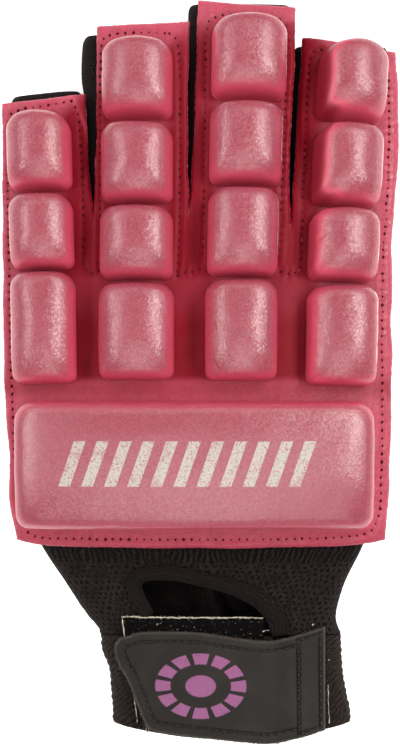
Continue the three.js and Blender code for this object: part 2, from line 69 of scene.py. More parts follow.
# Height of the back of the glove, its arch across the hand, and where that arch is centred
BACK = table(
    "along crown fall centre half",
    (110, 13.0, 7.0, 0, 55), (95, 16.0, 7.0, 0, 55), (75, 20.0, 7.0, 0, 55), (50, 23.5, 7.0, 0, 55),
    (20, 26.2, 7.0, 0, 55), (-12, 27.4, 7.0, 0, 55), (-34, 26.8, 7.0, 0, 54), (-50, 25.0, 6.6, 1, 52),
    (-62, 23.4, 6.2, 3.5, 42), (-74, 22.6, 6.0, 6, 34), (-104, 23.0, 6.0, 8, 34),
)

# Gap between two pieces, and the thickness of the knit and of the elastic
GAP = 0.3
CLOTH = 1.2
ELASTIC = 2.0

# Where things lie along the hand, and how far the cuff's end bows out
CROTCH = 43.0
SHEET_BOTTOM = -49.0
FINGER_BASE = 38.0
PALM_END = -43.0
GAUNTLET_END = -74.0
CUFF_END = -99.0
CUFF_BOW = 4.0

# Both edges of each finger strip, from left to right, each from its tip down to the wrist or a slit's end
STRIP_EDGES = [
    table("along across", (76.0, -55.9), (-2, -54.9), (-22, -53.5), (-36, -53.3), (-47, -51.5)),
    table("along across", (78.3, -32.2), (62, -31.4), (44.0, -30.0)),
    table("along across", (97.9, -29.1), (62, -29.1), (44.0, -30.0)),
    table("along across", (98.7, -2.9), (70, -3.4), (44.5, -3.1)),
    table("along across", (104.8, -0.6), (70, -1.6), (44.5, -3.1)),
    table("along across", (103.2, 27.2), (79, 26.3), (60, 25.0), (41.0, 25.3)),
    table("along across", (94.8, 29.0), (69, 27.2), (41.0, 25.3)),
    table("along across", (90.8, 55.8), (74, 56.3), (58, 55.9), (41, 54.2), (-8, 53.7), (-36, 52.8),
          (-47, 52.0)),
]
INDEX_LEFT = STRIP_EDGES[6]

# Moulded pads, tip pad first: middle of the foot, width, length, turn, how far the tip edge is arched, and
# how far the crown leans towards the tip, leans to the right and dips to the right for each millimetre
PAD_COLUMNS = "across along width length turn arch lean roll tilt"
FINGER_PADS = {
    "pinky": table(
        PAD_COLUMNS,
        (-44.6, 60.9, 17.4, 20.8, 2, 1.6, 0.12, 0.08, 0.1),
        (-43.8, 38.3, 17.2, 20.1, 2, 0.5, 0.12, 0.08, 0.1),
        (-43.1, 11.8, 17.4, 30.4, 1, 0.4, 0.08, 0.08, 0.1),
    ),
    "ring": table(
        PAD_COLUMNS,
        (-17.3, 80.7, 19.3, 20.4, 0, 1.2, 0.17, 0.0, 0.0),
        (-17.3, 57.3, 19.5, 21.0, 0, 0.5, 0.13, 0.0, 0.0),
        (-17.4, 35.2, 19.9, 19.4, 0, 0.6, 0.12, 0.0, 0.0),
        (-17.4, 10.9, 20.4, 26.2, 0, 0.4, 0.06, 0.0, 0.0),
    ),
    "middle": table(
        PAD_COLUMNS,
        (13.6, 86.7, 20.8, 21.4, -1, 1.6, 0.19, 0.0, 0.0),
        (12.6, 62.5, 20.0, 21.4, -1, 0.6, 0.15, 0.0, 0.0),
        (11.7, 38.0, 19.3, 23.4, -1, 0.5, 0.13, 0.0, -0.04),
        (11.2, 11.2, 19.6, 27.3, 0, 0.4, 0.06, 0.0, -0.04),
    ),
    "index": table(
        PAD_COLUMNS,
        (41.9, 80.2, 18.3, 20.4, -3, 2.2, 0.2, 0.14, 0.08),
        (40.5, 56.7, 18.4, 21.6, -3, 1.2, 0.16, 0.1, 0.08),
        (39.3, 34.6, 18.5, 19.4, -2, 0.8, 0.13, 0.06, 0.0),
        (38.8, 9.8, 18.8, 27.4, -1, 0.7, 0.06, 0.0, -0.1),
    ),
}
KNUCKLE = table(PAD_COLUMNS, (-1.5, -25.4, 96.2, 34.6, 0, 0.0, 0.0, 0.0, 0.0))[0]

# Outline of a pad's wall from its flared foot to the edge of its crown, in shares of its height
PAD_PROFILE = table(
    "step rise inset",
    (0, -0.02, 0.0), (1, 0.1, 0.0), (2, 0.45, 0.0), (3, 0.8, 0.4), (4, 0.95, 1.4), (5, 1.0, 3.2),
)
PAD_CROWN = 0.03

# Rings of points up a pad's wall, and on over its crown
WALLS = 26
LIDS = 20

# A pad's corners at its wrist end, as a share of those at its tip end
LOW_CORNER = 0.68

# Painted light on each finger's pads: the side on which a painted highlight runs along the foot of its pads,
# on how many of them from the tip, and at which ring of the wall, and how much painted shade darkens each
# pad's inner wall where it turns from the light, tip pad first
PAINTED_LIGHT = {
    "pinky": {"side": -1, "rim_lit_pads": 3, "ring": 15.0, "turned_away": (0.0, 0.0, 0.0)},
    "ring": {"side": -1, "rim_lit_pads": 1, "ring": 15.0, "turned_away": (0.0, 0.0, 0.0, 0.0)},
    "middle": {"side": 1, "rim_lit_pads": 3, "ring": 15.0, "turned_away": (0.0, 0.0, 0.0, 0.0)},
    "index": {"side": 1, "rim_lit_pads": 4, "ring": 17.2, "turned_away": (0.9, 0.8, 0.5, 0.3)},
}

# A short crease pressed into a pad's crown, from one plan point to another
CREASES = {"index_foam_3": ((32.6, 36.6), (35.2, 38.8))}

# Points round a pad, how much less painted wall shading its walls take at its tip end, and how far its
# crown falls off towards its sides, its tip end and its wrist end, over a border how wide and with what
# power; the border at the wrist end is a share of the pad's length
FINGER_FORM = {
    "points": 112, "tip_painted_light": 0.7, "side": 3.3, "side_reach": 9.6, "side_power": 2.2,
    "tip": 1.0, "tip_reach": 6.0, "tip_power": 3.0, "low": 2.6, "low_reach": 0.43, "low_power": 2.3,
}
KNUCKLE_FORM = {
    "points": 360, "tip_painted_light": 0.0, "side": 1.9, "side_reach": 9.6, "side_power": 2.4,
    "tip": 1.3, "tip_reach": 10.0, "tip_power": 2.0, "low": 2.8, "low_reach": 0.5, "low_power": 2.2,
}

# Cloth finger sleeves, from the base to the tip: both sides of the tube; how far a sleeve's tip end is
# slanted for each millimetre across, and the finger whose sleeve hangs down with its strip of the sheet
SLEEVES = {
    "pinky": table(
        "along left right", (38, -53.6, -30.5), (60, -54.2, -32.2), (71, -54.2, -32.6), (79.0, -54.0, -33.6),
    ),
    "ring": table(
        "along left right",
        (38, -29.9, -3.9), (50, -31.0, -4.2), (62, -31.9, -4.4), (74, -32.3, -4.4), (83, -33.7, -4.4),
        (92, -33.7, -4.6), (95.6, -33.2, -5.0),
    ),
    "middle": table("along left right", (38, -3.2, 24.8), (70, -3.6, 25.8), (104.4, -3.4, 26.3)),
    "index": table("along left right", (38, 24.95, 52.4), (70, 25.95, 53.8), (92.6, 26.45, 53.6)),
}
SLEEVE_SLANTS = {"pinky": 0.08, "ring": 0.0, "middle": 0.0, "index": 0.0}
HANGING_FINGER = "index"

# Rounding of the sleeves' tips, and of the cloth's lower and upper corners; the cuff's are fuller
TIP_ROUND = 2.6
TIP_DROP = 0.6
LOW_ROUND = 5.5
HIGH_ROUND = 4.0
CUFF_ROUND = 2.6

# Sides of the cloth hand, from the finger bases to the end of the cuff
HAND_SIDES = table(
    "along left right",
    (38, -53.4, 52.2), (0, -53.2, 52.0), (-30, -51.6, 51.2), (-43, -47.2, 48.1), (-49, -44.7, 46.0),
    (-60, -37.8, 40.9), (-69, -32.2, 38.9), (-74, -28.5, 40.0), (-79, -27.8, 40.3), (-84, -25.9, 40.6),
    (-90, -25.3, 41.5), (-95, -24.9, 42.6), (-99, -24.8, 42.9),
)

# Thumb hole: its middle, its size and what its cut spans across the hand; heights of the cuts in the back;
# and the split in the cuff
THUMB = {"along": -18.0, "up": 9.2, "long": 25.0, "high": 11.0, "from": 38.0, "to": 62.0}
BACK_CUT = {"from": 9.5, "to": 40.0}
CUFF_SPLIT = ((20.5, -110), (25.5, -110), (25.5, -70), (20.5, -70))

# Vent in the back of the gauntlet, and the middle line of the knit tape round it
VENT = table(
    "across along",
    (-10.5, -75), (-13.0, -69.5), (-15.4, -65), (-16.6, -61.4), (-16.3, -59.5), (-14.4, -58.6), (-10, -58.4),
    (-5, -58.8), (3.6, -60.9), (9.8, -63.0), (15.4, -66.2), (18.4, -70), (20.4, -75),
)
BINDING = table(
    "across along",
    (-14.9, -68.4), (-17.0, -64.2), (-18.4, -60.6), (-17.9, -57.9), (-15.2, -56.5), (-10, -56.2),
    (-5.2, -56.7), (3.8, -58.7), (11.2, -61.0), (17.6, -64.4), (21.3, -69.0), (23.0, -73.4),
)
BINDING_WIDTH = 4.3
BINDING_SPREAD = 1.2
BINDING_HEIGHT = 1.7

# Closure: the loop patch on the cuff, then the tab that presses onto it, where across the tab it comes off
# the patch and where it lies on the band, its two seams, and how far inside its edge its stitches run
PATCH = {"left": -21.9, "low_left": -17.6, "right": 18.0, "top": -68.8, "bottom": -98.5, "thick": 1.6}
TAB_THICK = 2.0
TAB = table(
    "across top bottom",
    (-24.0, -77.0, -79.0), (-22.6, -74.9, -82.6), (-20.0, -74.0, -87.0), (-17.2, -73.0, -94.0),
    (-14.6, -72.8, -99.4), (-9.0, -72.6, -101.0), (0, -72.8, -102.0), (11, -74.4, -103.2),
    (20, -75.2, -103.8), (28, -73.7, -102.6), (35.2, -71.6, -100.6),
)
TAB_SEAT = {"lifted": 19.3, "seated": 26.5}
TAB_SEAMS = (27.8, 34.0)
TAB_BORDER = 2.7

# Specks of white lint caught on the closure
LINT = table(
    "across along",
    (-12.1, -70.7), (-1.7, -71.5), (31.6, -71.0), (17.6, -72.6), (-23.5, -76.2), (36.2, -81.0),
)

# Rows of needle holes in the pink sheet
STITCH_ROWS = {
    "outer": table(
        "across along",
        (-36.2, 76.2), (-44, 75.0), (-51.5, 73.8), (-53.9, 70.5), (-54.1, 52), (-53.4, 20), (-52.9, 0),
        (-52.3, -14), (-51.7, -30), (-50.9, -39), (-49.2, -43.6), (-45, -46.2), (-30, -46.6), (0, -46.6),
        (30, -46.5), (45.5, -45.4), (49.4, -42.0), (50.6, -34), (51.0, -10), (51.0, 12), (51.4, 32),
        (52.4, 46), (53.3, 62), (53.4, 80), (52.6, 86.5), (49.6, 88.2),
    ),
    "pinky_ring": table(
        "across along",
        (-36.2, 76.2), (-34.2, 72), (-33.4, 62), (-32.7, 46), (-32.6, 33), (-32.2, 29.2), (-30.8, 28.2),
        (-28.9, 27.2), (-28.1, 29.6), (-27.9, 40), (-28.0, 60), (-28.0, 84), (-27.6, 93), (-24.5, 95.3),
        (-16, 95.6), (-8.5, 95.4),
    ),
    "ring_middle": table(
        "across along",
        (-8.5, 95.4), (-6.1, 91), (-5.7, 72), (-5.7, 46), (-6.2, 30), (-6.8, 26.6), (-4.2, 27.8),
        (-0.8, 28.3), (0.6, 30.6), (0.9, 40), (1.2, 58), (1.5, 78), (1.9, 96), (4.6, 100.2), (13, 101.1),
        (20.5, 100.6),
    ),
    "middle_index": table(
        "across along",
        (20.5, 100.6), (24.0, 97.2), (24.4, 86), (23.8, 70), (22.9, 52), (22.2, 36), (21.6, 29.2),
        (23.4, 27.6), (26.2, 27.4), (28.0, 29.4), (28.5, 38), (28.8, 50), (29.6, 66), (30.5, 82),
        (31.6, 89.8), (35.5, 91.2),
    ),
}

# Grooves that stitches press: in the sheet, with a bead raised beside it, and in the tab and along its seams
SHEET_GROOVE = {"deep": 0.5, "wide": 0.6}
SHEET_BEAD = {"high": 0.24, "off": 1.2, "wide": 0.55}
TAB_GROOVE = {"deep": 0.42, "wide": 0.45}
SEAM_GROOVE = {"deep": 0.3, "wide": 0.5}

# How deep threads lie at the sheet's rim and in its valleys, and needle holes everywhere; points of a stitch
RIM_SUNK = 0.42
VALLEY_SUNK = 0.6
HOLE_SUNK = 0.36
STITCH_POINTS = 7

# How many loose fibres show: on the patch's upper edge, at the tab's corner, and round the tab
WHISKERS = 70
BRISTLES = 90
FIBRES = 600

# Points round a finger's sleeve, round the palm and the cuff, and round the mesh, whose folds are the finest
FINGER_RING = 120
HAND_RING = 240
MESH_RING = 360

# Rows and columns of the patch and of the tab
PATCH_NET = (66, 90)
TAB_NET = (92, 190)

# Where the glove's plan lies in the frame
SHIFT = np.array([
    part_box("strap_tab")[0].x / MM - TAB[0]["across"],
    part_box("gauntlet")[0].y / MM - GAUNTLET_END,
    0.0,
])


# Settings

def linear(code):
    """Linear colour of an sRGB hex code."""
    parts = [int(code[i:i + 2], 16) / 255 for i in (1, 3, 5)]
    return tuple(c / 12.92 if c <= 0.04045 else ((c + 0.055) / 1.055) ** 2.4 for c in parts)


def colour(name, code, description):
    """A colour property with a hex code for its default."""
    return FloatVectorProperty(
        name=name, description=description, subtype="COLOR", size=3, min=0, max=1, default=linear(code),
    )


def length(name, millimetres, description):
    """A length property whose default is given in millimetres."""
    return FloatProperty(name=name, description=description, unit="LENGTH", subtype="DISTANCE",
                         precision=5, min=0, default=millimetres * MM)


def power(name, watts, description):
    """A light's power as a property."""
    return FloatProperty(name=name, description=description, unit="POWER", min=0, default=watts)


class GloveSizes(bpy.types.PropertyGroup):
    """Sizes that a user would change."""
    finger_pad: length("Finger pad height", 10.5, "Thickness of the moulded foam over each finger bone")
    knuckle_pad: length("Knuckle pad height", 13.0, "Thickness of the moulded foam over the knuckles")
    pad_corner: length("Pad corner", 3.7, "Radius of a finger pad's corners seen from above")
    knuckle_corner: length("Knuckle corner", 5.0, "Radius of the knuckle pad's corners seen from above")
    sheet: length("Sheet thickness", 3.0, "Thickness of the foam sheet under the pads")
    stitch: length("Stitch length", 2.2, "Distance between two needle holes")
    hole: length("Needle hole", 0.4, "Radius of a needle hole in the foam")
    thread: length("Thread", 0.24, "Radius of the sewing thread")


class GloveColours(bpy.types.PropertyGroup):
    """Colours that a user would change."""
    foam: colour("Foam", "#911e3e", "The dyed foam under its pearly skin")
    # Painted light and shade: pad walls get this colour of their own, set to how they look turned from the
    # lights
    wall: colour("Foam wall", "#c44861", "Painted colour of a pad's walls, set to how they look as they turn from the lights")
    # Painted shade: dark red for the sheet's valleys and for pad walls turned from the light
    deep: colour("Deep foam", "#7c0a1e", "Painted shade in the sheet's valleys and on pad walls turned from the light")
    sheet: colour("Sheet foam", "#b23a56", "The dyed foam of the pressed sheet")
    cloth: colour("Cloth", "#1e1718", "Black stretch knit of the fingers and palm")
    mesh: colour("Mesh", "#150f10", "Black spacer mesh of the gauntlet")
    tape: colour("Binding tape", "#120c0d", "Black knit tape round the vent")
    elastic: colour("Elastic", "#211a18", "Black woven elastic")
    tab: colour("Tab", "#15110f", "Coated cloth of the strap tab")
    print_light: colour("Knuckle print", "#b1ada6", "Worn off-white print on the knuckle pad")
    print_mauve: colour("Tab print", "#855079", "Mauve print on the tab")
    yarn: colour("Frayed yarn", "#cfc8b8", "Pale core yarn that shows where the closure is cut")


class GloveStudio(bpy.types.PropertyGroup):
    """Camera and lights."""
    height: length("Camera height", 770.0, "Height of the camera above the floor")
    lens: FloatProperty(name="Lens", description="Focal length in millimetres", default=129.6, min=20)
    key: power("Right light", 14.9, "Power of the soft box on the right")
    fill: power("Left light", 8.5, "Power of the soft box on the left")
    front: power("Front light", 6.2, "Power of the soft box at the wrist")
    tip: power("Tip light", 2.0, "Power of the soft box past the fingertips")
    ambient: FloatProperty(name="Ambient", description="Strength of the white surroundings", default=0.1,
                           min=0)


def size(name):
    """One of the size settings, in millimetres."""
    return getattr(bpy.context.scene.glove_sizes, name) / MM


def colours():
    """The colour settings of the scene."""
    return bpy.context.scene.glove_colours


# Geometry helpers

def read(rows, column, place, key="along"):
    """Value of one column of a table at places along it, on a smooth curve through its rows."""
    ordered = sorted(rows, key=lambda row: row[key])
    keys = np.array([row[key] for row in ordered], float)
    values = np.array([row[column] for row in ordered], float)
    slopes = np.empty_like(values)
    slopes[1:-1] = (values[2:] - values[:-2]) / (keys[2:] - keys[:-2])
    slopes[0] = (values[1] - values[0]) / (keys[1] - keys[0])
    slopes[-1] = (values[-1] - values[-2]) / (keys[-1] - keys[-2])
    held = np.clip(place, keys[0], keys[-1])
    low = np.clip(np.searchsorted(keys, held) - 1, 0, len(keys) - 2)
    span = keys[low + 1] - keys[low]
    t = (held - keys[low]) / span
    bend = (2 * t - 3) * t * t
    return (values[low] * (1 + bend) - values[low + 1] * bend
            + slopes[low] * span * t * (1 - t) ** 2 + slopes[low + 1] * span * t * t * (t - 1))


def back_height(across, along):
    """Height of the outer face of the pink sheet."""
    off = (across - read(BACK, "centre", along)) / read(BACK, "half", along)
    return read(BACK, "crown", along) - read(BACK, "fall", along) * off * off


def cloth_height(across, along):
    """Height of the cloth under the sheet."""
    return back_height(across, along) - size("sheet") - GAP


def along_path(points, count=None, step=None, closed=False):
    """Points spread evenly along a path, and their distances from its start."""
    path = np.asarray(points, float)
    if closed:
        path = np.vstack([path, path[:1]])
    gaps = np.linalg.norm(np.diff(path, axis=0), axis=1)
    travelled = np.concatenate([[0], np.cumsum(gaps)])
    if count is None:
        count = max(int(round(travelled[-1] / step)) + 1, 2)
    places = np.linspace(0, travelled[-1], count, endpoint=not closed)
    return at_distances(path, travelled, places), places


def at_distances(path, travelled, places):
    """Points of a path at given distances from its start."""
    return np.stack([np.interp(places, travelled, path[:, i]) for i in range(path.shape[1])], -1)


def curved_path(rows, step=0.25):
    """Smooth plan curve through a table's rows, as evenly spaced points."""
    points = np.array([[row["across"], row["along"]] for row in rows], float)
    before = np.vstack([2 * points[0] - points[1], points, 2 * points[-1] - points[-2]])
    parts = []
    for i in range(len(points) - 1):
        a, b, c, d = before[i:i + 4]
        t = np.linspace(0, 1, 24, endpoint=False)[:, None]
        parts.append(0.5 * (2 * b + (c - a) * t + (2 * a - 5 * b + 4 * c - d) * t ** 2
                            + (3 * b - a - 3 * c + d) * t ** 3))
    parts.append(points[-1:])
    return along_path(np.vstack(parts), step=step)


def between(first, last, shares):
    """Lines of points at shares of the way from one line of points to another."""
    return np.array([first * (1 - share) + last * share for share in shares])


def quarter_circle(x, y, radius, start, count):
    """Points of a quarter circle about a centre, anticlockwise from a start in degrees."""
    angles = np.radians(np.linspace(start, start + 90, count))
    return [(x + radius * math.cos(angle), y + radius * math.sin(angle)) for angle in angles]


def turned(degrees):
    """Matrix that turns rows of plan points anticlockwise by an angle."""
    angle = math.radians(degrees)
    return np.array([[math.cos(angle), math.sin(angle)], [-math.sin(angle), math.cos(angle)]])


def soft_noise(points, reach, seed=1):
    """Smooth unevenness between about -1 and 1 with features of the given size."""
    rng = np.random.default_rng(seed)
    total = np.zeros(np.shape(points)[:-1])
    waves = 8
    for _ in range(waves):
        heading = rng.normal(size=np.shape(points)[-1])
        heading /= np.linalg.norm(heading)
        pace = 2 * math.pi / reach * rng.uniform(0.6, 1.5)
        total += np.sin(np.asarray(points) @ heading * pace + rng.uniform(0, 2 * math.pi))
    return total / math.sqrt(waves)


def noise_pair(points, reaches, seeds):
    """Two soft noises side by side, for the two directions of the plan."""
    return np.stack([soft_noise(points, reach, seed) for reach, seed in zip(reaches, seeds)], -1)


def bell(value, width):
    """One where a value is nought, falling off over a width on both sides."""
    return np.exp(-(value / width) ** 2)


def nearest(places, samples):
    """Distance from each plan point to the nearest sample, and that sample's number."""
    tree = kdtree.KDTree(len(samples))
    for i, (x, y) in enumerate(samples):
        tree.insert((x, y, 0), i)
    tree.balance()
    found = [tree.find((x, y, 0)) for x, y in places]
    return np.array([hit[2] for hit in found]), np.array([hit[1] for hit in found])


def smoothstep(value, low, high):
    """Nought below low, one above high, and an even turn between."""
    t = np.clip((np.asarray(value, float) - low) / (high - low), 0, 1)
    return t * t * (3 - 2 * t)


def net_area(plan):
    """Area of a flat net of plan points."""
    across = plan[1:, 1:] - plan[:-1, :-1]
    other = plan[1:, :-1] - plan[:-1, 1:]
    return float(np.abs(across[..., 0] * other[..., 1] - across[..., 1] * other[..., 0]).sum() / 2)


def placed_mesh(name, points, faces):
    """A mesh of plan points in millimetres, placed in the frame."""
    mesh = bpy.data.meshes.new(name)
    mesh.from_pydata(((np.asarray(points) + SHIFT) * MM).tolist(), [], faces)
    return mesh


def add_object(name, data):
    """A new object in the scene."""
    made = bpy.data.objects.new(name, data)
    bpy.context.scene.collection.objects.link(made)
    return made


class Surface:
    """Nets of four-sided faces that become one mesh, with cloth coordinates in millimetres."""

    def __init__(self):
        self.points = []
        self.faces = []
        self.cloth = []
        self.marks = []
        self.count = 0

    def net(self, points, wrap=False, flip=False, mark=0.0):
        """Adds a net over rows and columns of points; wrap joins the last column to the first."""
        rows, columns = points.shape[:2]
        ids = self.count + np.arange(rows * columns).reshape(rows, columns)
        full = np.concatenate([points, points[:, :1]], 1) if wrap else points
        if wrap:
            ids = np.concatenate([ids, ids[:, :1]], 1)
        u = np.concatenate([[0], np.cumsum(np.linalg.norm(np.diff(full, axis=1), axis=2).mean(0))])
        v = np.concatenate([[0], np.cumsum(np.linalg.norm(np.diff(full, axis=0), axis=2).mean(1))])
        grid = np.stack(np.meshgrid(u, v), -1)
        for source, target in ((ids, self.faces), (grid, self.cloth)):
            corners = [source[:-1, :-1], source[:-1, 1:], source[1:, 1:], source[1:, :-1]]
            stacked = np.stack(corners[::-1] if flip else corners, 2)
            target.append(stacked.reshape(-1, 4, *source.shape[2:]))
        self.points.append(points.reshape(-1, 3))
        self.marks.append(np.broadcast_to(mark, (rows, columns)).reshape(-1))
        self.count += rows * columns

    def thread(self, line, heights, radius, sides=6):
        """Adds a thin thread along plan points at their heights."""
        self.net(rope(np.column_stack([line, heights]), radius, sides), wrap=True)

    def piece(self, name, material):
        """The finished object, placed in the frame, with its points welded and shaded smooth."""
        mesh = placed_mesh(name, np.vstack(self.points), np.vstack(self.faces).tolist())
        layer = mesh.uv_layers.new(name="cloth")
        layer.uv.foreach_set("vector", np.vstack(self.cloth).reshape(-1))
        mark = mesh.attributes.new("mark", "FLOAT", "POINT")
        mark.data.foreach_set("value", np.concatenate(self.marks).astype(np.float32))
        weld(mesh, 0.004 * MM)
        mesh.shade_smooth()
        mesh.materials.append(material)
        return add_object(name, mesh)


def weld(mesh, distance):
    """Joins points that lie together and drops the faces that this flattens."""
    work = bmesh.new()
    work.from_mesh(mesh)
    bmesh.ops.remove_doubles(work, verts=work.verts, dist=distance)
    bmesh.ops.dissolve_degenerate(work, edges=work.edges, dist=distance * 0.1)
    work.to_mesh(mesh)
    work.free()


def rope(points, radius, sides=6):
    """Rings of a thin thread along a path of points in space."""
    points = np.asarray(points, float)
    heading = np.gradient(points, axis=0)
    heading /= np.linalg.norm(heading, axis=1, keepdims=True) + 1e-9
    up = np.cross(heading, [0.31, 0.17, 0.94])
    up /= np.linalg.norm(up, axis=1, keepdims=True) + 1e-9
    side = np.cross(heading, up)
    angles = np.linspace(0, 2 * math.pi, sides, endpoint=False)
    thick = np.broadcast_to(radius, (len(points),))[:, None, None]
    ring = np.cos(angles)[None, :, None] * up[:, None] + np.sin(angles)[None, :, None] * side[:, None]
    return points[:, None] + ring * thick


def declare(made, node):
    """Rides on the glove's one body and stands for its CAD node, where there is one, which is hidden."""
    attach(made, "root")
    if node:
        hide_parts(node)


def lay_sheet(made, plans):
    """Works out the corners and the area of a piece's flat nets, and gives the piece back; neither is kept.
    """
    corners = np.vstack([plan.reshape(-1, 2) for plan in plans])
    area = sum(net_area(plan) for plan in plans)
    return made


# Materials

# Tints that are part of a material's look: what each one is on the real thing. The pearl flake is in part
# a painted sheen; the rim highlight and the caught glint are painted highlights, the hole shadow painted
# shade
TINTS = {
    "pearl flake": "#f2d5d3", "rim highlight": "#fbe4e0", "lint": "#77706c", "knit sheen": "#8f8680",
    "loop pile": "#0c090a", "caught glint": "#8c8f8a", "coating haze": "#3c3a36", "cut edge": "#56524c",
    "pink thread": "#b04458", "hole shadow": "#560b1a", "black thread": "#0e0c0b", "edge fuzz": "#4a453f",
    "hook": "#141214", "lamp": "#fffaf4",
}

# Mica flakes in the pearly skin: real ones are 0.02 to 0.1 mm, too fine to show, so they are drawn coarser
FLAKE = 0.45

# Finishes of the foam: how dark its mottling is, how pale its flakes are (in part a painted sheen), its
# roughness between and on the grain, how far the flakes tilt, how thick the film is on the barest flake, on
# open faces and in recesses, and how glossy the foam and how rough the film is
MOULDED = {"mottle": 0.94, "pale": 0.07, "rough": (0.46, 0.38), "tilt": 0.19, "barest": 0.46,
           "open": 1.0, "recess": 0.3, "gloss": 0.4, "film_rough": 0.37}
FOAM_FINISHES = {
    "moulded": MOULDED,
    "printed": {**MOULDED, "tilt": 0.1, "barest": 0.68},
    "pressed": {**MOULDED, "mottle": 0.86, "pale": 0.06, "rough": (0.55, 0.45),
                "open": 0.25, "recess": 0.0, "gloss": 0.14, "film_rough": 0.42},
}

# Print on the knuckle pad, placed from the pad's middle, and on the tab, placed in the glove's plan
BARS = {"right": -2.0, "up": 0.3, "half_high": 6.2, "slant": 0.35, "pitch": 6.3, "wide": 3.2, "count": 11}
RING = {"across": 0.2, "along": -87.6, "half_long": 10.6, "half_high": 7.6, "wide": 0.2, "dashes": 12}

# Settings of nodes that come back often
SMOOTH = {"interpolation_type": "SMOOTHSTEP"}
COLOURS = {"data_type": "RGBA"}
NUMBERS = {"data_type": "FLOAT"}
TIMES = {"operation": "MULTIPLY"}
PLUS = {"operation": "ADD"}
MINUS = {"operation": "SUBTRACT"}
SIZE = {"operation": "ABSOLUTE"}
MARK = {"attribute_name": "mark"}


def shade(hue, share=1.0):
    """A colour, or a share of it, with full alpha."""
    return (*(c * share for c in hue), 1.0)


def tint(name):
    """One of the tints as a linear colour with full alpha."""
    return shade(linear(TINTS[name]))


class Shader:
    """A material in the making, whose patterns are drawn in the place of the shaded point."""

    def __init__(self, name):
        self.material = bpy.data.materials.new(name)
        self.material.use_nodes = True
        self.tree = self.material.node_tree
        self.tree.nodes.clear()
        self.place = self.add("TexCoord", out="Object")

    def add(self, kind, *values, out="", **settings):
        """Adds one node with its settings and links, and gives its first output or the named one.

        The values go to the sockets in use in their order, or by name where they are a dictionary. A value
        that is another node's output is linked.
        """
        made = self.tree.nodes.new("ShaderNode" + kind)
        for name, value in settings.items():
            setattr(made, name, value)
        sockets = [socket for socket in made.inputs if socket.enabled]
        if values and isinstance(values[0], dict):
            sockets = [next(s for s in sockets if s.name == name) for name in values[0]]
            values = values[0].values()
        for socket, value in zip(sockets, values):
            if isinstance(value, bpy.types.NodeSocket):
                self.tree.links.new(value, socket)
            else:
                socket.default_value = value
        return next((s for s in made.outputs if s.enabled and out in ("", s.name)), None)

    def finish(self, inputs):
        """Sends a surface with these inputs to the output, and gives the material."""
        self.add("OutputMaterial", self.add("BsdfPrincipled", inputs))
        return self.material

    def bands(self, cloth, pitch, degrees):
        """Cosine bands across a direction in the cloth."""
        angle = math.radians(degrees)
        pace = 2 * math.pi / pitch
        heading = (math.cos(angle) * pace, math.sin(angle) * pace, 0.0)
        run = self.add("VectorMath", cloth, heading, out="Value", operation="DOT_PRODUCT")
        return self.add("Math", run, operation="COSINE")

    def loops(self, cloth, pitch):
        """Six-sided net of peaks, from about -1.5 between them to 3 on them."""
        row_pitch = pitch * math.sqrt(3) / 2
        first, second, third = (self.bands(cloth, row_pitch, degrees) for degrees in (30, 90, 150))
        return self.add("Math", self.add("Math", first, second, **PLUS), third, **PLUS)

    def offset(self, axis, millimetres):
        """Distance of a shaded point from a place in the frame, along one axis."""
        return self.add("Math", self.add("SeparateXYZ", self.place, out=axis), millimetres * MM, **MINUS)


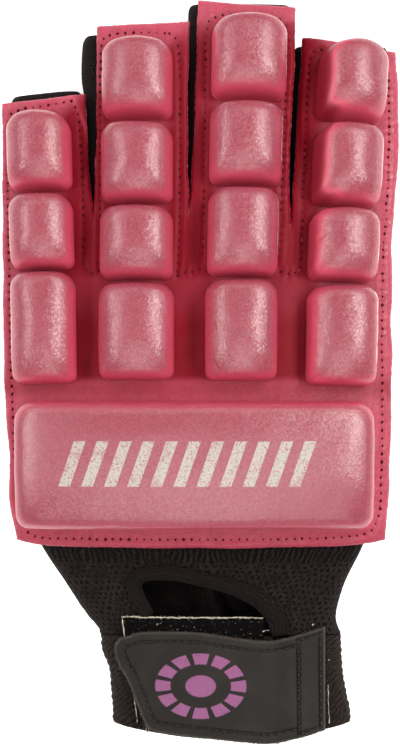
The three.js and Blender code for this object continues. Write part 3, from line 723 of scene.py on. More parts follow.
def foam_material(name, hue, recess, finish):
    """Closed-cell EVA foam, compression moulded in a grained tool under a pearly film.

    The film lays a pale pink sheen over what faces the light, and the tool's fine grain breaks that sheen
    into sparkles; pale flakes in the base colour add a painted share of that sheen. Down the walls and in
    the valleys the film is drawn thin, and the base colour takes the recess colour there as painted shading;
    past a mark of one it takes the deep red as painted shade. Below nought, along some pad feet and seams,
    it turns to a broken white rim, a painted highlight.
    """
    style = FOAM_FINISHES[finish]
    foam = Shader(name)
    add, place = foam.add, foam.place
    mottle = add("MapRange", add("TexNoise", place, 1 / (3.0 * MM), 3.0), 0.35, 0.7, **SMOOTH)
    base = add("Mix", mottle, shade(hue), shade(hue, style["mottle"]), **COLOURS)
    flake = add("TexVoronoi", {"Vector": place, "Scale": 1 / (FLAKE * MM)}, out="Color")
    # Pale flakes: partly the pearl pigment's own colour, partly a painted sheen
    flake_and_sheen = add("MapRange", add("SeparateColor", flake, out="Red"), 0.0, 1.0, 0.02, style["pale"], **SMOOTH)
    base = add("Mix", flake_and_sheen, base, tint("pearl flake"), **COLOURS)
    depth = add("Attribute", out="Fac", **MARK)
    # Painted shading: where the piece is marked, on walls and in valleys, the base colour turns to the
    # recess colour
    base = add("Mix", depth, base, shade(recess), **COLOURS)
    if finish != "pressed":
        # Painted shade: the deep red on walls turned from the light, marked past one
        turned_away_shade = add("MapRange", depth, 1.0, 2.0, **SMOOTH)
        base = add("Mix", turned_away_shade, base, shade(colours().deep), **COLOURS)
    # Painted highlight: a broken white rim where the mark falls below nought
    broken = add("MapRange", add("TexNoise", place, 1 / (1.1 * MM), 1.0), 0.36, 0.5, 0.1, 1.0, **SMOOTH)
    worn = add("Math", add("MapRange", depth, 0.0, -0.8, 0.0, 0.6, **SMOOTH), broken, **TIMES)
    base = add("Mix", worn, base, tint("rim highlight"), **COLOURS)
    pits = add("MapRange", add("TexNoise", place, 1 / (0.7 * MM), 1.0), 0.26, 0.34, 0.35, 0.0, **SMOOTH)
    base = add("Mix", pits, base, shade(hue, 0.45), **COLOURS)
    grain = add("TexNoise", place, 1 / (0.55 * MM), 1.0)
    rough = add("MapRange", grain, 0.3, 0.7, *style["rough"], **SMOOTH)
    if finish == "printed":
        print_mask = bars_print(foam)
        base = add("Mix", print_mask, base, shade(colours().print_light), **COLOURS)
        rough = add("Mix", print_mask, rough, 0.7, **NUMBERS)
    dents = add("Math", add("TexNoise", place, 1 / (1.6 * MM)), 0.5, **TIMES)
    bump = add("Bump", {"Height": add("Math", grain, dents, **PLUS), "Strength": 0.22, "Distance": 0.2 * MM})
    lean = style["tilt"]
    tilt = add("VectorMath", flake, (lean,) * 3, (-lean / 2,) * 3, operation="MULTIPLY_ADD")
    sparkle = add("VectorMath", add("VectorMath", bump, tilt, **PLUS), operation="NORMALIZE")
    green = add("SeparateColor", flake, out="Green")
    thick = add("MapRange", green, 0.2, 1.0, style["barest"], 0.95, **SMOOTH)
    drawn = add("MapRange", depth, 0.0, 1.0, style["open"], style["recess"], **SMOOTH)
    return foam.finish({
        "Base Color": base, "Roughness": rough, "Normal": bump, "IOR": 1.5,
        "Specular IOR Level": style["gloss"],
        "Coat Weight": add("Math", thick, drawn, **TIMES), "Coat Roughness": style["film_rough"],
        "Coat IOR": 1.8, "Coat Normal": sparkle,
        "Subsurface Weight": 0.25, "Subsurface Radius": (1.0, 0.2, 0.25), "Subsurface Scale": 2.5 * MM,
    })


def bars_print(foam):
    """Worn screen print of plain slanted bars, as a mask over the middle of the knuckle pad."""
    add, place = foam.add, foam.place
    x = foam.offset("X", KNUCKLE["across"] + BARS["right"] + SHIFT[0])
    y = foam.offset("Y", KNUCKLE["along"] + BARS["up"] + SHIFT[1])
    leaned = add("Math", x, add("Math", y, BARS["slant"], **TIMES), **MINUS)
    pitch = BARS["pitch"]
    moved = add("Math", leaned, 10 * pitch * MM, **PLUS)
    phase = add("Math", moved, pitch / 2 * MM, operation="PINGPONG")
    blur = 0.12 * MM
    mask = 1.0
    for reach, half in (
        (phase, BARS["wide"] / 2),
        (add("Math", y, **SIZE), BARS["half_high"]),
        (add("Math", leaned, **SIZE), BARS["count"] * pitch / 2),
    ):
        inside = add("MapRange", reach, half * MM + blur, half * MM - blur, **SMOOTH)
        mask = add("Math", mask, inside, **TIMES)
    worn = add("MapRange", add("TexNoise", place, 1 / (0.5 * MM), 3.0, 0.7), 0.34, 0.5, **SMOOTH)
    scuffs = add("TexNoise", place, 1 / (5.0 * MM), 3.0, 0.6)
    scuffed = add("MapRange", scuffs, 0.3, 0.5, 0.55, 1.0, **SMOOTH)
    return add("Math", add("Math", mask, worn, **TIMES), scuffed, **TIMES)


def plain_material(name, hue, roughness, **more):
    """One colour with a little unevenness, for pieces too fine to show more."""
    plain = Shader(name)
    uneven = plain.add("TexNoise", plain.place, 1 / (0.8 * MM))
    mottle = plain.add("MapRange", uneven, 0.3, 0.7, **SMOOTH)
    base = plain.add("Mix", mottle, shade(hue), shade(hue, 0.6), **COLOURS)
    return plain.finish({"Base Color": base, "Roughness": roughness, **more})


def knit_material(name, hue, pitch, holes=0.0, ribs=0.0, twill=0.0, depth=0.25, contrast=1.0):
    """Black polyester knit or weave: matt, with its loops, ribs or holes drawn at their real pitch.

    Dark yarn in tiny loops scatters light softly, so the cloth stays near black, with a dusty sheen on
    what turns towards the light. Its base colour is painted lighter on the loops and deeper black in the
    gaps between the yarns: painted light and shade. Where the piece is marked, its ribs show in place of its
    holes, as they do where the cloth is gathered into a seam.
    """
    knit = Shader(name)
    add, place = knit.add, knit.place
    cloth = add("UVMap", uv_map="cloth")
    for wander, reach in ((7.0, 3.0), (2.4, 1.6)):
        pull = add("TexNoise", cloth, 1 / wander, 1.0, out="Color")
        pull = add("VectorMath", pull, (reach, reach, 0.0), (-reach / 2, -reach / 2, 0.0),
                   operation="MULTIPLY_ADD")
        cloth = add("VectorMath", cloth, pull, **PLUS)
    height = add("MapRange", knit.loops(cloth, pitch), -1.2, 2.6, **SMOOTH)
    patterns = []
    if holes:
        patterns.append(add("MapRange", knit.loops(cloth, holes), -0.4, 2.2, 1.0, 0.0, **SMOOTH))
    if ribs:
        patterns.append(add("MapRange", knit.bands(cloth, ribs, 0), -1, 1, **SMOOTH))
    if twill:
        patterns.append(add("MapRange", knit.bands(cloth, twill, 52), -1, 1, **SMOOTH))
    if patterns:
        mark = add("Attribute", out="Fac", **MARK)
        relief = patterns[0]
        if len(patterns) > 1:
            relief = add("Mix", mark, *patterns, **NUMBERS)
        patchy = add("MapRange", add("TexNoise", place, 1 / (4.5 * MM)), 0.34, 0.62, 0.3, 1.0, **SMOOTH)
        shown = add("Math", patchy, add("MapRange", mark, -1.0, 0.0, **SMOOTH), **TIMES)
        relief = add("Mix", shown, 0.6, relief, **NUMBERS)
        height = add("Math", add("Math", height, 0.3, **TIMES), add("Math", relief, 0.7, **TIMES), **PLUS)
    fuzz = add("TexNoise", place, 1 / (0.8 * MM), 2.0, 0.7)
    height = add("Math", height, add("Math", fuzz, 0.8, **TIMES), **PLUS)
    # Painted light and shade: lighter on the loops, near black in the gaps between them
    base = add("Mix", add("MapRange", height, 0.65, 1.35, **SMOOTH),
               shade(hue, 1 - 0.75 * contrast), shade(hue, 1 + 1.5 * contrast), **COLOURS)
    lint = add("MapRange", add("TexNoise", place, 1 / (0.4 * MM), 1.0), 0.74, 0.82, **SMOOTH)
    base = add("Mix", add("Math", lint, 0.35, **TIMES), base, tint("lint"), **COLOURS)
    bump = add("Bump", {"Height": height, "Strength": 0.9, "Distance": depth * MM})
    return knit.finish({
        "Base Color": base, "Roughness": 0.9, "Normal": bump, "IOR": 1.5, "Specular IOR Level": 0.15,
        "Sheen Weight": 0.07, "Sheen Roughness": 0.5, "Sheen Tint": tint("knit sheen"),
    })


def pile_material(name, hue):
    """Brushed nylon loop pile: a mat of fine loops, black with tiny caught glints."""
    pile = Shader(name)
    add, place = pile.add, pile.place
    mat = add("TexNoise", place, 1 / (0.5 * MM), 4.0, 0.75)
    base = add("Mix", add("MapRange", mat, 0.35, 0.75, **SMOOTH), shade(hue, 0.2), shade(hue), **COLOURS)
    glint = add("MapRange", add("TexNoise", place, 1 / (0.55 * MM), 1.0), 0.66, 0.78, **SMOOTH)
    base = add("Mix", add("Math", glint, 0.6, **TIMES), base, tint("caught glint"), **COLOURS)
    bump = add("Bump", {"Height": mat, "Strength": 1.0, "Distance": 0.5 * MM})
    return pile.finish({"Base Color": base, "Roughness": 0.85, "Normal": bump, "Specular IOR Level": 0.08})


def coated_material(name, hue):
    """Polyurethane coated cloth, calendered to a fine grain, with a printed mark on its face.

    The coating gives a low even gloss, the grain a dusty speckle, and the cut edge a paler fuzzy line.
    """
    coat = Shader(name)
    add, place = coat.add, coat.place
    grain = add("TexNoise", place, 1 / (0.45 * MM), 2.0, 0.65)
    speckle = add("MapRange", grain, 0.35, 0.7, **SMOOTH)
    base = add("Mix", speckle, shade(hue, 0.65), shade(hue, 1.35), **COLOURS)
    haze = add("MapRange", add("TexNoise", place, 1 / (7.0 * MM)), 0.4, 0.7, 0.0, 0.12, **SMOOTH)
    base = add("Mix", haze, base, tint("coating haze"), **COLOURS)
    edge = add("Attribute", out="Fac", **MARK)
    fuzz = add("Math", edge, add("MapRange", grain, 0.3, 0.6, 0.4, 1.0, **SMOOTH), **TIMES)
    base = add("Mix", add("Math", fuzz, 0.7, **TIMES), base, tint("cut edge"), **COLOURS)
    base = add("Mix", ring_print(coat), base, shade(colours().print_mauve), **COLOURS)
    bump = add("Bump", {"Height": grain, "Strength": 0.5, "Distance": 0.12 * MM})
    return coat.finish({
        "Base Color": base, "Roughness": 0.62, "Normal": bump, "IOR": 1.5, "Specular IOR Level": 0.28,
    })


def ring_print(coat):
    """Screen print of a plain oval ring of short dashes, as a mask over the middle of the tab."""
    add = coat.add
    x = add("Math", coat.offset("X", RING["across"] + SHIFT[0]), RING["half_long"] * MM, operation="DIVIDE")
    y = add("Math", coat.offset("Y", RING["along"] + SHIFT[1]), RING["half_high"] * MM, operation="DIVIDE")
    squares = add("Math", add("Math", x, x, **TIMES), add("Math", y, y, **TIMES), **PLUS)
    reach = add("Math", squares, operation="SQRT")
    off = add("Math", add("Math", reach, 1.0, **MINUS), **SIZE)
    band = add("MapRange", off, RING["wide"] + 0.02, RING["wide"] - 0.02, **SMOOTH)
    turn = add("Math", y, x, operation="ARCTAN2")
    beat = add("Math", add("Math", turn, RING["dashes"], **TIMES), operation="COSINE")
    dashes = add("Math", band, add("MapRange", beat, -0.72, -0.6, **SMOOTH), **TIMES)
    core = add("MapRange", reach, 0.42, 0.38, **SMOOTH)
    worn = add("MapRange", add("TexNoise", coat.place, 1 / (0.5 * MM)), 0.26, 0.36, **SMOOTH)
    return add("Math", add("Math", dashes, core, operation="MAXIMUM"), worn, **TIMES)


def acrylic_material(name):
    """White acrylic lit from below: even and pale, so shadows on it stay faint."""
    white = Shader(name)
    tooth = white.add("MapRange", white.add("TexNoise", white.place, 1 / (0.8 * MM)), 0.3, 0.7, **SMOOTH)
    return white.finish({
        "Base Color": white.add("Mix", tooth, shade((1, 1, 1), 0.93), shade((1, 1, 1), 0.9), **COLOURS),
        "Roughness": 0.9, "Specular IOR Level": 0.2,
        "Emission Color": shade((1, 1, 1)), "Emission Strength": 0.6,
    })


# Pads

def pad_outline(row, corner, count):
    """Rounded rectangle with an arched tip edge, anticlockwise from above, about its own middle."""
    half_x = row["width"] / 2
    half_y = row["length"] / 2
    points = []
    for side_x, side_y, start in ((1, 1, 0), (-1, 1, 90), (-1, -1, 180), (1, -1, 270)):
        radius = corner if side_y > 0 else corner * LOW_CORNER
        points += quarter_circle(side_x * (half_x - radius), side_y * (half_y - radius), radius, start, 13)
    outline = along_path(points, count=count, closed=True)[0]
    tipward = np.clip(outline[:, 1] / half_y, 0, 1)
    outline[:, 1] -= row["arch"] * (outline[:, 0] / half_x) ** 2 * tipward
    return outline


def pad_rings(row, height, corner, form):
    """Rings of a moulded pad from its foot over its rounded edge to the line along its crown."""
    outline = pad_outline(row, corner, form["points"])
    half = np.array([row["width"] / 2, row["length"] / 2])
    spine = max(1 - row["length"] / row["width"], 0)
    steps = np.linspace(0, len(PAD_PROFILE) - 1, WALLS)
    rises = read(PAD_PROFILE, "rise", steps, "step") * height
    plans = [outline * (1 - inset / half) for inset in read(PAD_PROFILE, "inset", steps, "step")]
    shares = np.linspace(0, 1, LIDS + 1)[1:]
    plans += list(between(plans[-1], outline * [spine, 0], shares))
    tops = height * (1 + PAD_CROWN * (1 - (1 - shares) ** 2))
    side_reach = min(half[0], form["side_reach"])
    rings = []
    for plan, level in zip(plans, np.concatenate([rises, tops])):
        side = np.clip(1 - (half[0] - np.abs(plan[:, 0])) / side_reach, 0, 1)
        tip = np.clip(1 - (half[1] - plan[:, 1]) / form["tip_reach"], 0, 1)
        low = np.clip(1 - (half[1] + plan[:, 1]) / (form["low_reach"] * row["length"]), 0, 1)
        fall = (form["side"] * side ** form["side_power"] + form["tip"] * tip ** form["tip_power"]
                + form["low"] * low ** form["low_power"])
        rise = level * (1 - (fall + row["tilt"] * plan[:, 0]) / height)
        placed = over_back(plan @ turned(row["turn"]) + [row["across"], row["along"]], rise)
        rings.append(placed + np.outer(rise, [row["roll"], row["lean"], 0]))
    return np.array(rings)


def over_back(spot, rise):
    """Points at a rise above the back of the glove, leaning as its slope leans."""
    x, y = spot.T
    lean = back_height(x + 0.5, y) - back_height(x - 0.5, y)
    dip = back_height(x, y + 0.5) - back_height(x, y - 0.5)
    return np.stack([x - lean * rise, y - dip * rise, back_height(x, y) + GAP + rise], -1)


def pad_rim_highlight(row, rings, film, tipped):
    """Where a painted highlight runs along the outer side of a pad's foot, and along its tip edge where
    tipped.
    """
    foot = rings[0, :, :2] - rings[0, :, :2].mean(0)
    outward = film["side"] * foot[:, 0]
    rim = smoothstep(outward / (row["width"] / 2), 0.8, 0.96)
    if tipped:
        tip = smoothstep(foot[:, 1] / (row["length"] / 2), 0.8, 0.95)
        rim = np.maximum(rim, tip * smoothstep(outward, -row["width"] * 0.2, 0))
    rim = rim * smoothstep(foot[:, 1] / row["length"], -0.46, -0.2)
    return bell(np.arange(len(rings)) - film["ring"], 1.8)[:, None] * rim


# The film settings are the finger's painted light: its rim highlights and the shade of walls turned away
def pad_mark(row, rings, form, film, number):
    """Painted shading on a pad's walls, darker where they turn from the light, and a painted rim highlight.
    """
    level = np.arange(len(rings))
    # Painted wall shading: the walls take the recess colour, less of it towards the tip end
    wall_shading = 1 - smoothstep(level, WALLS * 0.5, WALLS)
    tipward = smoothstep((rings[..., 1] - row["along"]) / row["length"], 0.3, 0.5)
    mark = wall_shading[:, None] * (1 - form["tip_painted_light"] * tipward)
    if not film:
        return mark
    # Painted shade on the inner walls of the pads that turn from the light
    inner = smoothstep((row["across"] - rings[0, :, 0]) / (row["width"] / 2), 0.2, 0.85)
    deeper = film["turned_away"][number] * inner * (1 - smoothstep(level, 17, 25.5))[:, None]
    mark = mark * (1 - deeper) + 1.9 * deeper
    # A painted highlight along the rim, given as a mark below nought
    if number < film["rim_lit_pads"]:
        worn = pad_rim_highlight(row, rings, film, number == 0)
        mark = mark * (1 - worn) - worn
    return mark


# The film settings carry the finger's painted light: rim highlights and the shade of walls turned away
def make_pad(name, row, height, corner, form, material, seed, film=None, number=0):
    """One foam pad, a little uneven as hand-trimmed foam is, closed underneath."""
    rings = pad_rings(row, height, corner, form)
    flat = rings.reshape(-1, 3)
    share = smoothstep(np.arange(len(rings)), 5, 20).repeat(rings.shape[1])
    flat[:, 2] += soft_noise(flat, 13.0, seed) * 0.07 * share
    flat[:, :2] += noise_pair(flat, (12.0, 12.0), (seed + 40, seed + 80)) * (0.1 * share[:, None])
    if name in CREASES:
        start, end = np.array(CREASES[name])
        reach = end - start
        part = np.clip((flat[:, :2] - start) @ reach / (reach @ reach), 0, 1)
        off = np.linalg.norm(flat[:, :2] - start - part[:, None] * reach, axis=1)
        flat[:, 2] -= 0.35 * bell(off, 0.5) * share
    foot = rings[0]
    under = between(foot, foot.mean(0), np.linspace(0, 1, 7))
    under[1:, :, 2] = back_height(under[1:, :, 0], under[1:, :, 1]) + GAP * 0.4
    skin = Surface()
    skin.net(rings, wrap=True, mark=pad_mark(row, rings, form, film, number))
    skin.net(under, wrap=True, flip=True, mark=1.0)
    made = skin.piece(name, material)
    return made


def rounded(edge, radius):
    """How far a rounded edge has fallen at a distance in from it."""
    return radius * (1 - np.sqrt(1 - np.clip(1 - edge / radius, 0, 1) ** 2))


def near_stitches(flat, lines):
    """Distance of plan points to rows of stitches, how far along a row they are, and its stitches' beat."""
    apart, which = nearest(flat, np.vstack([line for line, _ in lines]))
    run = np.concatenate([places for _, places in lines])[which]
    return apart, run, np.cos(2 * math.pi * run / size("stitch"))


# Pink sheet: rows of its net over the hand and over a finger strip, and columns across a strip
HAND_ROWS = 128
STRIP_ROWS = 80
STRIP_COLUMNS = 44


def eased(count, low_end=True, squeeze=0.4):
    """Shares from nought to one that lie closer together at one end."""
    share = np.linspace(0, 1, count + 1)
    return share * (1 - squeeze) + squeeze * (share ** 2 if low_end else 1 - (1 - share) ** 2)


def strip_edge(rows, outer):
    """Points up one edge of a finger strip, from the wrist edge to its tip."""
    tip, end = rows[0]["along"], rows[-1]["along"]
    low, crotch = (end, CROTCH) if outer else (SHEET_BOTTOM, end)
    hand = low + (crotch - low) * eased(HAND_ROWS)
    finger = crotch + (tip - crotch) * eased(STRIP_ROWS, low_end=False)
    along = np.concatenate([hand, finger[1:]])
    return np.stack([read(rows, "across", along), along], -1)


def strip_plans():
    """Flat net of each finger strip with its share of the hand, and points all along the sheet's rim."""
    share = np.linspace(0, 1, STRIP_COLUMNS + 1)
    share = share - 0.085 * np.sin(2 * math.pi * share)
    last = len(STRIP_EDGES) - 1
    edges = [strip_edge(rows, outer=number in (0, last)) for number, rows in enumerate(STRIP_EDGES)]
    plans, rims = [], []
    for left, right in zip(edges[0::2], edges[1::2]):
        at_left, at_right = left is edges[0], right is edges[-1]
        x = left[:, :1] * (1 - share) + right[:, :1] * share
        ease = np.repeat(share[None, :], len(left), 0)
        bottom = np.exp(-np.arange(len(left)) / 10.0)[:, None]
        if at_left:
            ease = ease * (1 - bottom) + (1 - (1 - share) ** 3) * bottom
        if at_right:
            ease = ease * (1 - bottom) + share ** 3 * bottom
        y = left[:, 1:] * (1 - ease) + right[:, 1:] * ease
        plan = np.stack([x, y], -1)
        plans.append(plan)
        rims += [plan[-1], plan[0]]
        rims += [plan[(0 if at_left else HAND_ROWS):, 0], plan[(0 if at_right else HAND_ROWS):, -1]]
    return plans, np.vstack([along_path(line, step=0.2)[0] for line in rims])


def enclosed(places):
    """How deep plan points lie between two columns of pads or near a pad's foot, nought to one: painted
    shade.
    """
    apart = []
    for rows in FINGER_PADS.values():
        columns = []
        for row in rows:
            own = (places - [row["across"], row["along"]]) @ turned(row["turn"]).T
            past = np.maximum(np.abs(own) - [row["width"] / 2, row["length"] / 2], 0)
            columns.append(np.hypot(past[:, 0], past[:, 1]))
        apart.append(np.min(columns, 0))
    near = np.sort(apart, 0)
    valley = smoothstep(17 - near[0] - near[1], 0, 7.5) * smoothstep(places[:, 1], -5.0, -0.5)
    return np.maximum(valley, 0.45 * bell(near[0], 2.5))


def index_hang(across, along):
    """How far down the inner edge of the index finger hangs."""
    return 2.8 * (np.clip((31.8 - across) / 4.0, 0, 1) * smoothstep(along, 44, 70)) ** 1.6


def folded_corner(across, along):
    """How far the little finger's strip is puckered up along the fold across its inner corner."""
    off = across + 34.2 + 0.42 * (along - 73.3)
    return bell(off, 1.0) * smoothstep(along, 64, 70) * (across < -30.5)


def sheet_top(across, along):
    """Height of the sheet's outer face, with its drooping edges, its hanging strip and its folded corner."""
    droop = np.maximum(np.abs(across) - 50.0, 0) * np.where(across > 0, 0.22, 0.1)
    hang = index_hang(across, along) * (across > read(INDEX_LEFT, "across", along) - 0.3)
    return back_height(across, along) - droop - hang + 0.7 * folded_corner(across, along)


def sheet_mark(flat, spots, apart, beat, uneven, hanging):
    """Painted shade in the sheet's valleys and by the pads; painted highlights where it falls below nought.
    """
    x, y = flat.T
    # Painted shade: in the valleys between the columns of pads, a little less on the step below the
    # crotches, in a band between the lowest finger pads and the knuckle pad, and along the lower edge
    step = smoothstep(y, 12.0, 20.0) * (1 - smoothstep(y, 25.5, 27.5))
    deep = np.maximum(enclosed(flat) * (1 - 0.14 * step), 0.5 * bell(y + 4.4, 3.3))
    deep = np.maximum(deep, 0.24 * (1 - smoothstep(y, -45.0, -43.0)))
    # Painted shade on the hanging edge of the index strip
    if hanging:
        deep = np.maximum(deep, smoothstep(index_hang(x, y), 0.0, 1.0))
    # Painted highlights: glints on the puckered flanks, beside the stitches there and along the middle
    # strip's inner seam, and on the folded corner
    flank = np.maximum(smoothstep(x, 47.5, 50.0), smoothstep(-x, 51.0, 53.0)) * smoothstep(y, -8.0, 14.0)
    crumple_glints = np.clip(0.2 + soft_noise(spots, 1.6, 51), 0, 1) * flank
    seam = bell(apart - 0.9, 0.5) * (0.5 - 0.5 * beat) * np.clip(uneven, 0, 1)
    inner_seam = (np.abs(x - 23.2) < 2.6) * smoothstep(y, 28.0, 40.0)
    worn = 0.16 * crumple_glints + 0.4 * seam * np.maximum(flank, inner_seam) + 0.3 * folded_corner(x, y)
    return deep - np.clip(worn, 0, 1)


def make_sheet(material):
    """The foam sheet: pressed round its edge, dimpled along its rows of stitches."""
    plans, rim = strip_plans()
    lines = [curved_path(rows) for rows in STITCH_ROWS.values()]
    skin = Surface()
    for number, plan in enumerate(plans):
        first, last = number == 0, number == len(plans) - 1
        flat = plan.reshape(-1, 2)
        spots = np.column_stack([flat, np.zeros(len(flat))])
        edge = nearest(flat, rim)[0]
        apart, run, beat = near_stitches(flat, lines)
        drop = rounded(edge, 1.0)
        groove = SHEET_GROOVE["deep"] * bell(apart, SHEET_GROOVE["wide"]) * (0.6 + 0.4 * beat)
        uneven = 0.75 + 0.5 * soft_noise(np.column_stack([run, run * 0]), 6.0, 9)
        bead = SHEET_BEAD["high"] * bell(apart - SHEET_BEAD["off"], SHEET_BEAD["wide"])
        bead = bead * (0.6 - 0.6 * beat) * uneven
        sway = noise_pair(spots, (16.0, 15.0), (3, 4)) * 0.12
        sway += noise_pair(spots, (1.7, 1.8), (13, 14)) * 0.06
        swayed = flat + sway * np.exp(-edge / 1.4)[:, None]
        top = sheet_top(flat[:, 0], flat[:, 1])
        wave = soft_noise(spots, 8.0, 5) * 0.07
        shape = (*plan.shape[:2], 3)
        upper = np.column_stack([swayed, top - drop - groove + bead + wave]).reshape(shape)
        lower = np.column_stack([swayed, top - size("sheet") + drop * 0.4]).reshape(shape)
        mark = sheet_mark(flat, spots, apart, beat, uneven, last)
        skin.net(upper, mark=mark.reshape(shape[:2]))
        skin.net(lower, flip=True)
        right_from = 0 if last else HAND_ROWS
        left_from = 0 if first else HAND_ROWS
        for high, low in (
            (upper[-1][::-1], lower[-1][::-1]), (upper[0], lower[0]),
            (upper[right_from:, -1], lower[right_from:, -1]),
            (upper[left_from:, 0][::-1], lower[left_from:, 0][::-1]),
        ):
            skin.net(between(low, high, np.linspace(0, 1, 5)))
    return lay_sheet(skin.piece("pressed_sheet", material), plans)


# Tubes of cloth

def cloth_ring(along, left, right, inset, count, shrink=0.0, bow=0.0):
    """Closed ring of a cloth tube: flat underneath, rounded sides, its top following the back."""
    floor = inset + shrink * 0.3
    left, right = left + inset + shrink, right - inset - shrink
    fuller = CUFF_ROUND * float(smoothstep(-along, 46, 72))
    low = min(LOW_ROUND + fuller - inset, (right - left) / 3)
    high = min(HIGH_ROUND + fuller - inset, (right - left) / 3)
    xs = np.linspace(right - high, left + high, 40)
    tops = cloth_height(xs, along) - inset - shrink * TIP_DROP
    spots = [(x, floor) for x in np.linspace(left + low, right - low, 20)]
    spots += quarter_circle(right - low, floor + low, low, -90, 9)[1:]
    spots += quarter_circle(right - high, tops[0] - high, high, 0, 9)[:-1]
    spots += list(zip(xs, tops))
    spots += quarter_circle(left + high, tops[-1] - high, high, 90, 9)[1:]
    spots += quarter_circle(left + low, floor + low, low, 180, 9)[:-1]
    ring = along_path(spots, count=count, closed=True)[0]
    off = (ring[:, 0] - (left + right) / 2) / ((right - left) / 2)
    return np.column_stack([ring[:, 0], along - bow * (1 - off ** 2), ring[:, 1]])


def towards_middle(rings):
    """Direction across a tube from each point of its rings to the middle of its ring."""
    inward = rings.mean(1, keepdims=True) - rings
    inward[..., 1] = 0
    return inward / (np.linalg.norm(inward, axis=2, keepdims=True) + 1e-6)


def cloth_folds(rings, depth, reach, seed, free_ends=3):
    """Presses soft folds into the sides and palm of a tube, and leaves its back and its ends alone."""
    row = np.arange(len(rings))
    ends = smoothstep(np.minimum(row, row[::-1]), 0, free_ends)
    backs = smoothstep(rings[..., 2] - rings[..., 2].mean(1, keepdims=True), 0.0, 4.0)
    stretched = rings * [1.0, 0.55, 1.0]
    amount = np.clip(0.5 + 0.5 * soft_noise(stretched, reach, seed), 0, 1) * depth
    return rings + towards_middle(rings) * (amount * (1 - backs) * ends[:, None])[..., None]


def tube_piece(name, outer, inner, material, mark=0.0):
    """Hollow tube from matching outer and inner rings, open at both ends."""
    skin = Surface()
    skin.net(outer, wrap=True, flip=True, mark=mark)
    skin.net(inner, wrap=True, mark=-1.0)
    for number, flip in ((0, False), (-1, True)):
        skin.net(between(outer[number], inner[number], np.linspace(0, 1, 4)), wrap=True, flip=flip)
    return skin.piece(name, material)


def hand_rings(places, wall, count, bow=0.0):
    """Outer and inner rings of the cloth hand at the given places."""
    left, right = (read(HAND_SIDES, side, places) for side in ("left", "right"))
    bows = np.broadcast_to(bow, places.shape)
    return [np.array([cloth_ring(place, low, high, inset, count, bow=bent)
                      for place, low, high, bent in zip(places, left, right, bows)])
            for inset in (0.0, wall)]


def cut(made, cutter):
    """Cuts one closed mesh out of another and removes the cutter."""
    modifier = made.modifiers.new("cut", "BOOLEAN")
    modifier.operation = "DIFFERENCE"
    modifier.object = cutter
    modifier.solver = "EXACT"
    bpy.context.view_layer.update()
    ready = made.evaluated_get(bpy.context.evaluated_depsgraph_get())
    result = bpy.data.meshes.new_from_object(ready)
    if len(result.polygons) <= 100:
        raise RuntimeError(f"the cut in {made.name} left nothing")
    made.modifiers.clear()
    made.data = result
    bpy.data.objects.remove(cutter)
    made.data.shade_smooth()
    return made


def prism(name, outline, low, high):
    """Closed prism over a plan outline, between two heights."""
    outline = np.asarray(outline, float)
    following = np.roll(outline, -1, 0)
    if np.sum(outline[:, 0] * following[:, 1] - following[:, 0] * outline[:, 1]) <= 0:
        outline = outline[::-1]
    count = len(outline)
    points = [(*p, low) for p in outline] + [(*p, high) for p in outline]
    faces = [list(range(count))[::-1], list(range(count, 2 * count))]
    faces += [[i, (i + 1) % count, count + (i + 1) % count, count + i] for i in range(count)]
    return add_object(name, placed_mesh(name, points, faces))


def make_sleeve(finger, rows, material):
    """Finger sleeve: open at the base, rounded and closed at the tip."""
    name = f"{finger}_knit"
    tip = rows[-1]["along"]
    shoulder = tip - TIP_ROUND
    closing = np.array([0.15, 0.35, 0.6, 0.85, 1.0])
    walls = []
    for inset in (0.0, CLOTH):
        stops = [(place, 0.0) for place in np.linspace(FINGER_BASE + GAP, shoulder, 54)]
        for share in np.sin(np.linspace(0, math.pi / 2, 9))[1:]:
            shrink = TIP_ROUND * 0.5 * (1 - math.sqrt(1 - share * share * 0.96))
            stops.append((shoulder + (tip - inset - shoulder) * share, shrink))
        rings = [cloth_ring(place, read(rows, "left", place), read(rows, "right", place), inset, FINGER_RING,
                            shrink=shrink) for place, shrink in stops]
        last = rings[-1]
        lid = between(last, last.mean(0), closing)
        lid[..., 1] += 0.5 * np.sin(closing * math.pi / 2)[:, None]
        rings = np.concatenate([rings, lid])
        slant = SLEEVE_SLANTS[finger] * smoothstep(rings[..., 1], CROTCH, tip)
        rings[..., 1] += (rings[..., 0] - last[:, 0].mean()) * slant
        if finger == HANGING_FINGER:
            high = smoothstep(rings[..., 2], 2.0, 12.0)
            rings[..., 2] -= index_hang(rings[..., 0], rings[..., 1]) * high
        walls.append(rings)
    outer, inner = cloth_folds(walls[0], 0.2, 13.0, len(name), free_ends=4), walls[1]
    skin = Surface()
    skin.net(outer, wrap=True, flip=True)
    skin.net(inner, wrap=True)
    skin.net(between(outer[0], inner[0], np.linspace(0, 1, 4)), wrap=True)
    return skin.piece(name, material)


def thumb_oval(count, grown=0.0):
    """Points round the thumb's hole: their places along the hand, and their heights."""
    angles = np.linspace(0, 2 * math.pi, count, endpoint=False)
    along = THUMB["along"] + (THUMB["long"] / 2 + grown) * np.cos(angles)
    return along, THUMB["up"] + (THUMB["high"] / 2 + grown) * np.sin(angles)


def make_palm(material):
    """Palm and back of the hand, with the thumb's hole cut through its side."""
    outer, inner = hand_rings(np.linspace(PALM_END, FINGER_BASE, 84), CLOTH, HAND_RING)
    made = tube_piece("palm_knit", cloth_folds(outer, 0.5, 16.0, 21), inner, material)
    cutter = prism("thumb_cut", np.stack(thumb_oval(72), -1), THUMB["from"], THUMB["to"])
    shift_x, shift_y = SHIFT[:2] * MM
    for vertex in cutter.data.vertices:
        along, up, across = vertex.co
        vertex.co = (across + shift_x, along - shift_x + shift_y, up - shift_y)
    return cut(made, cutter)


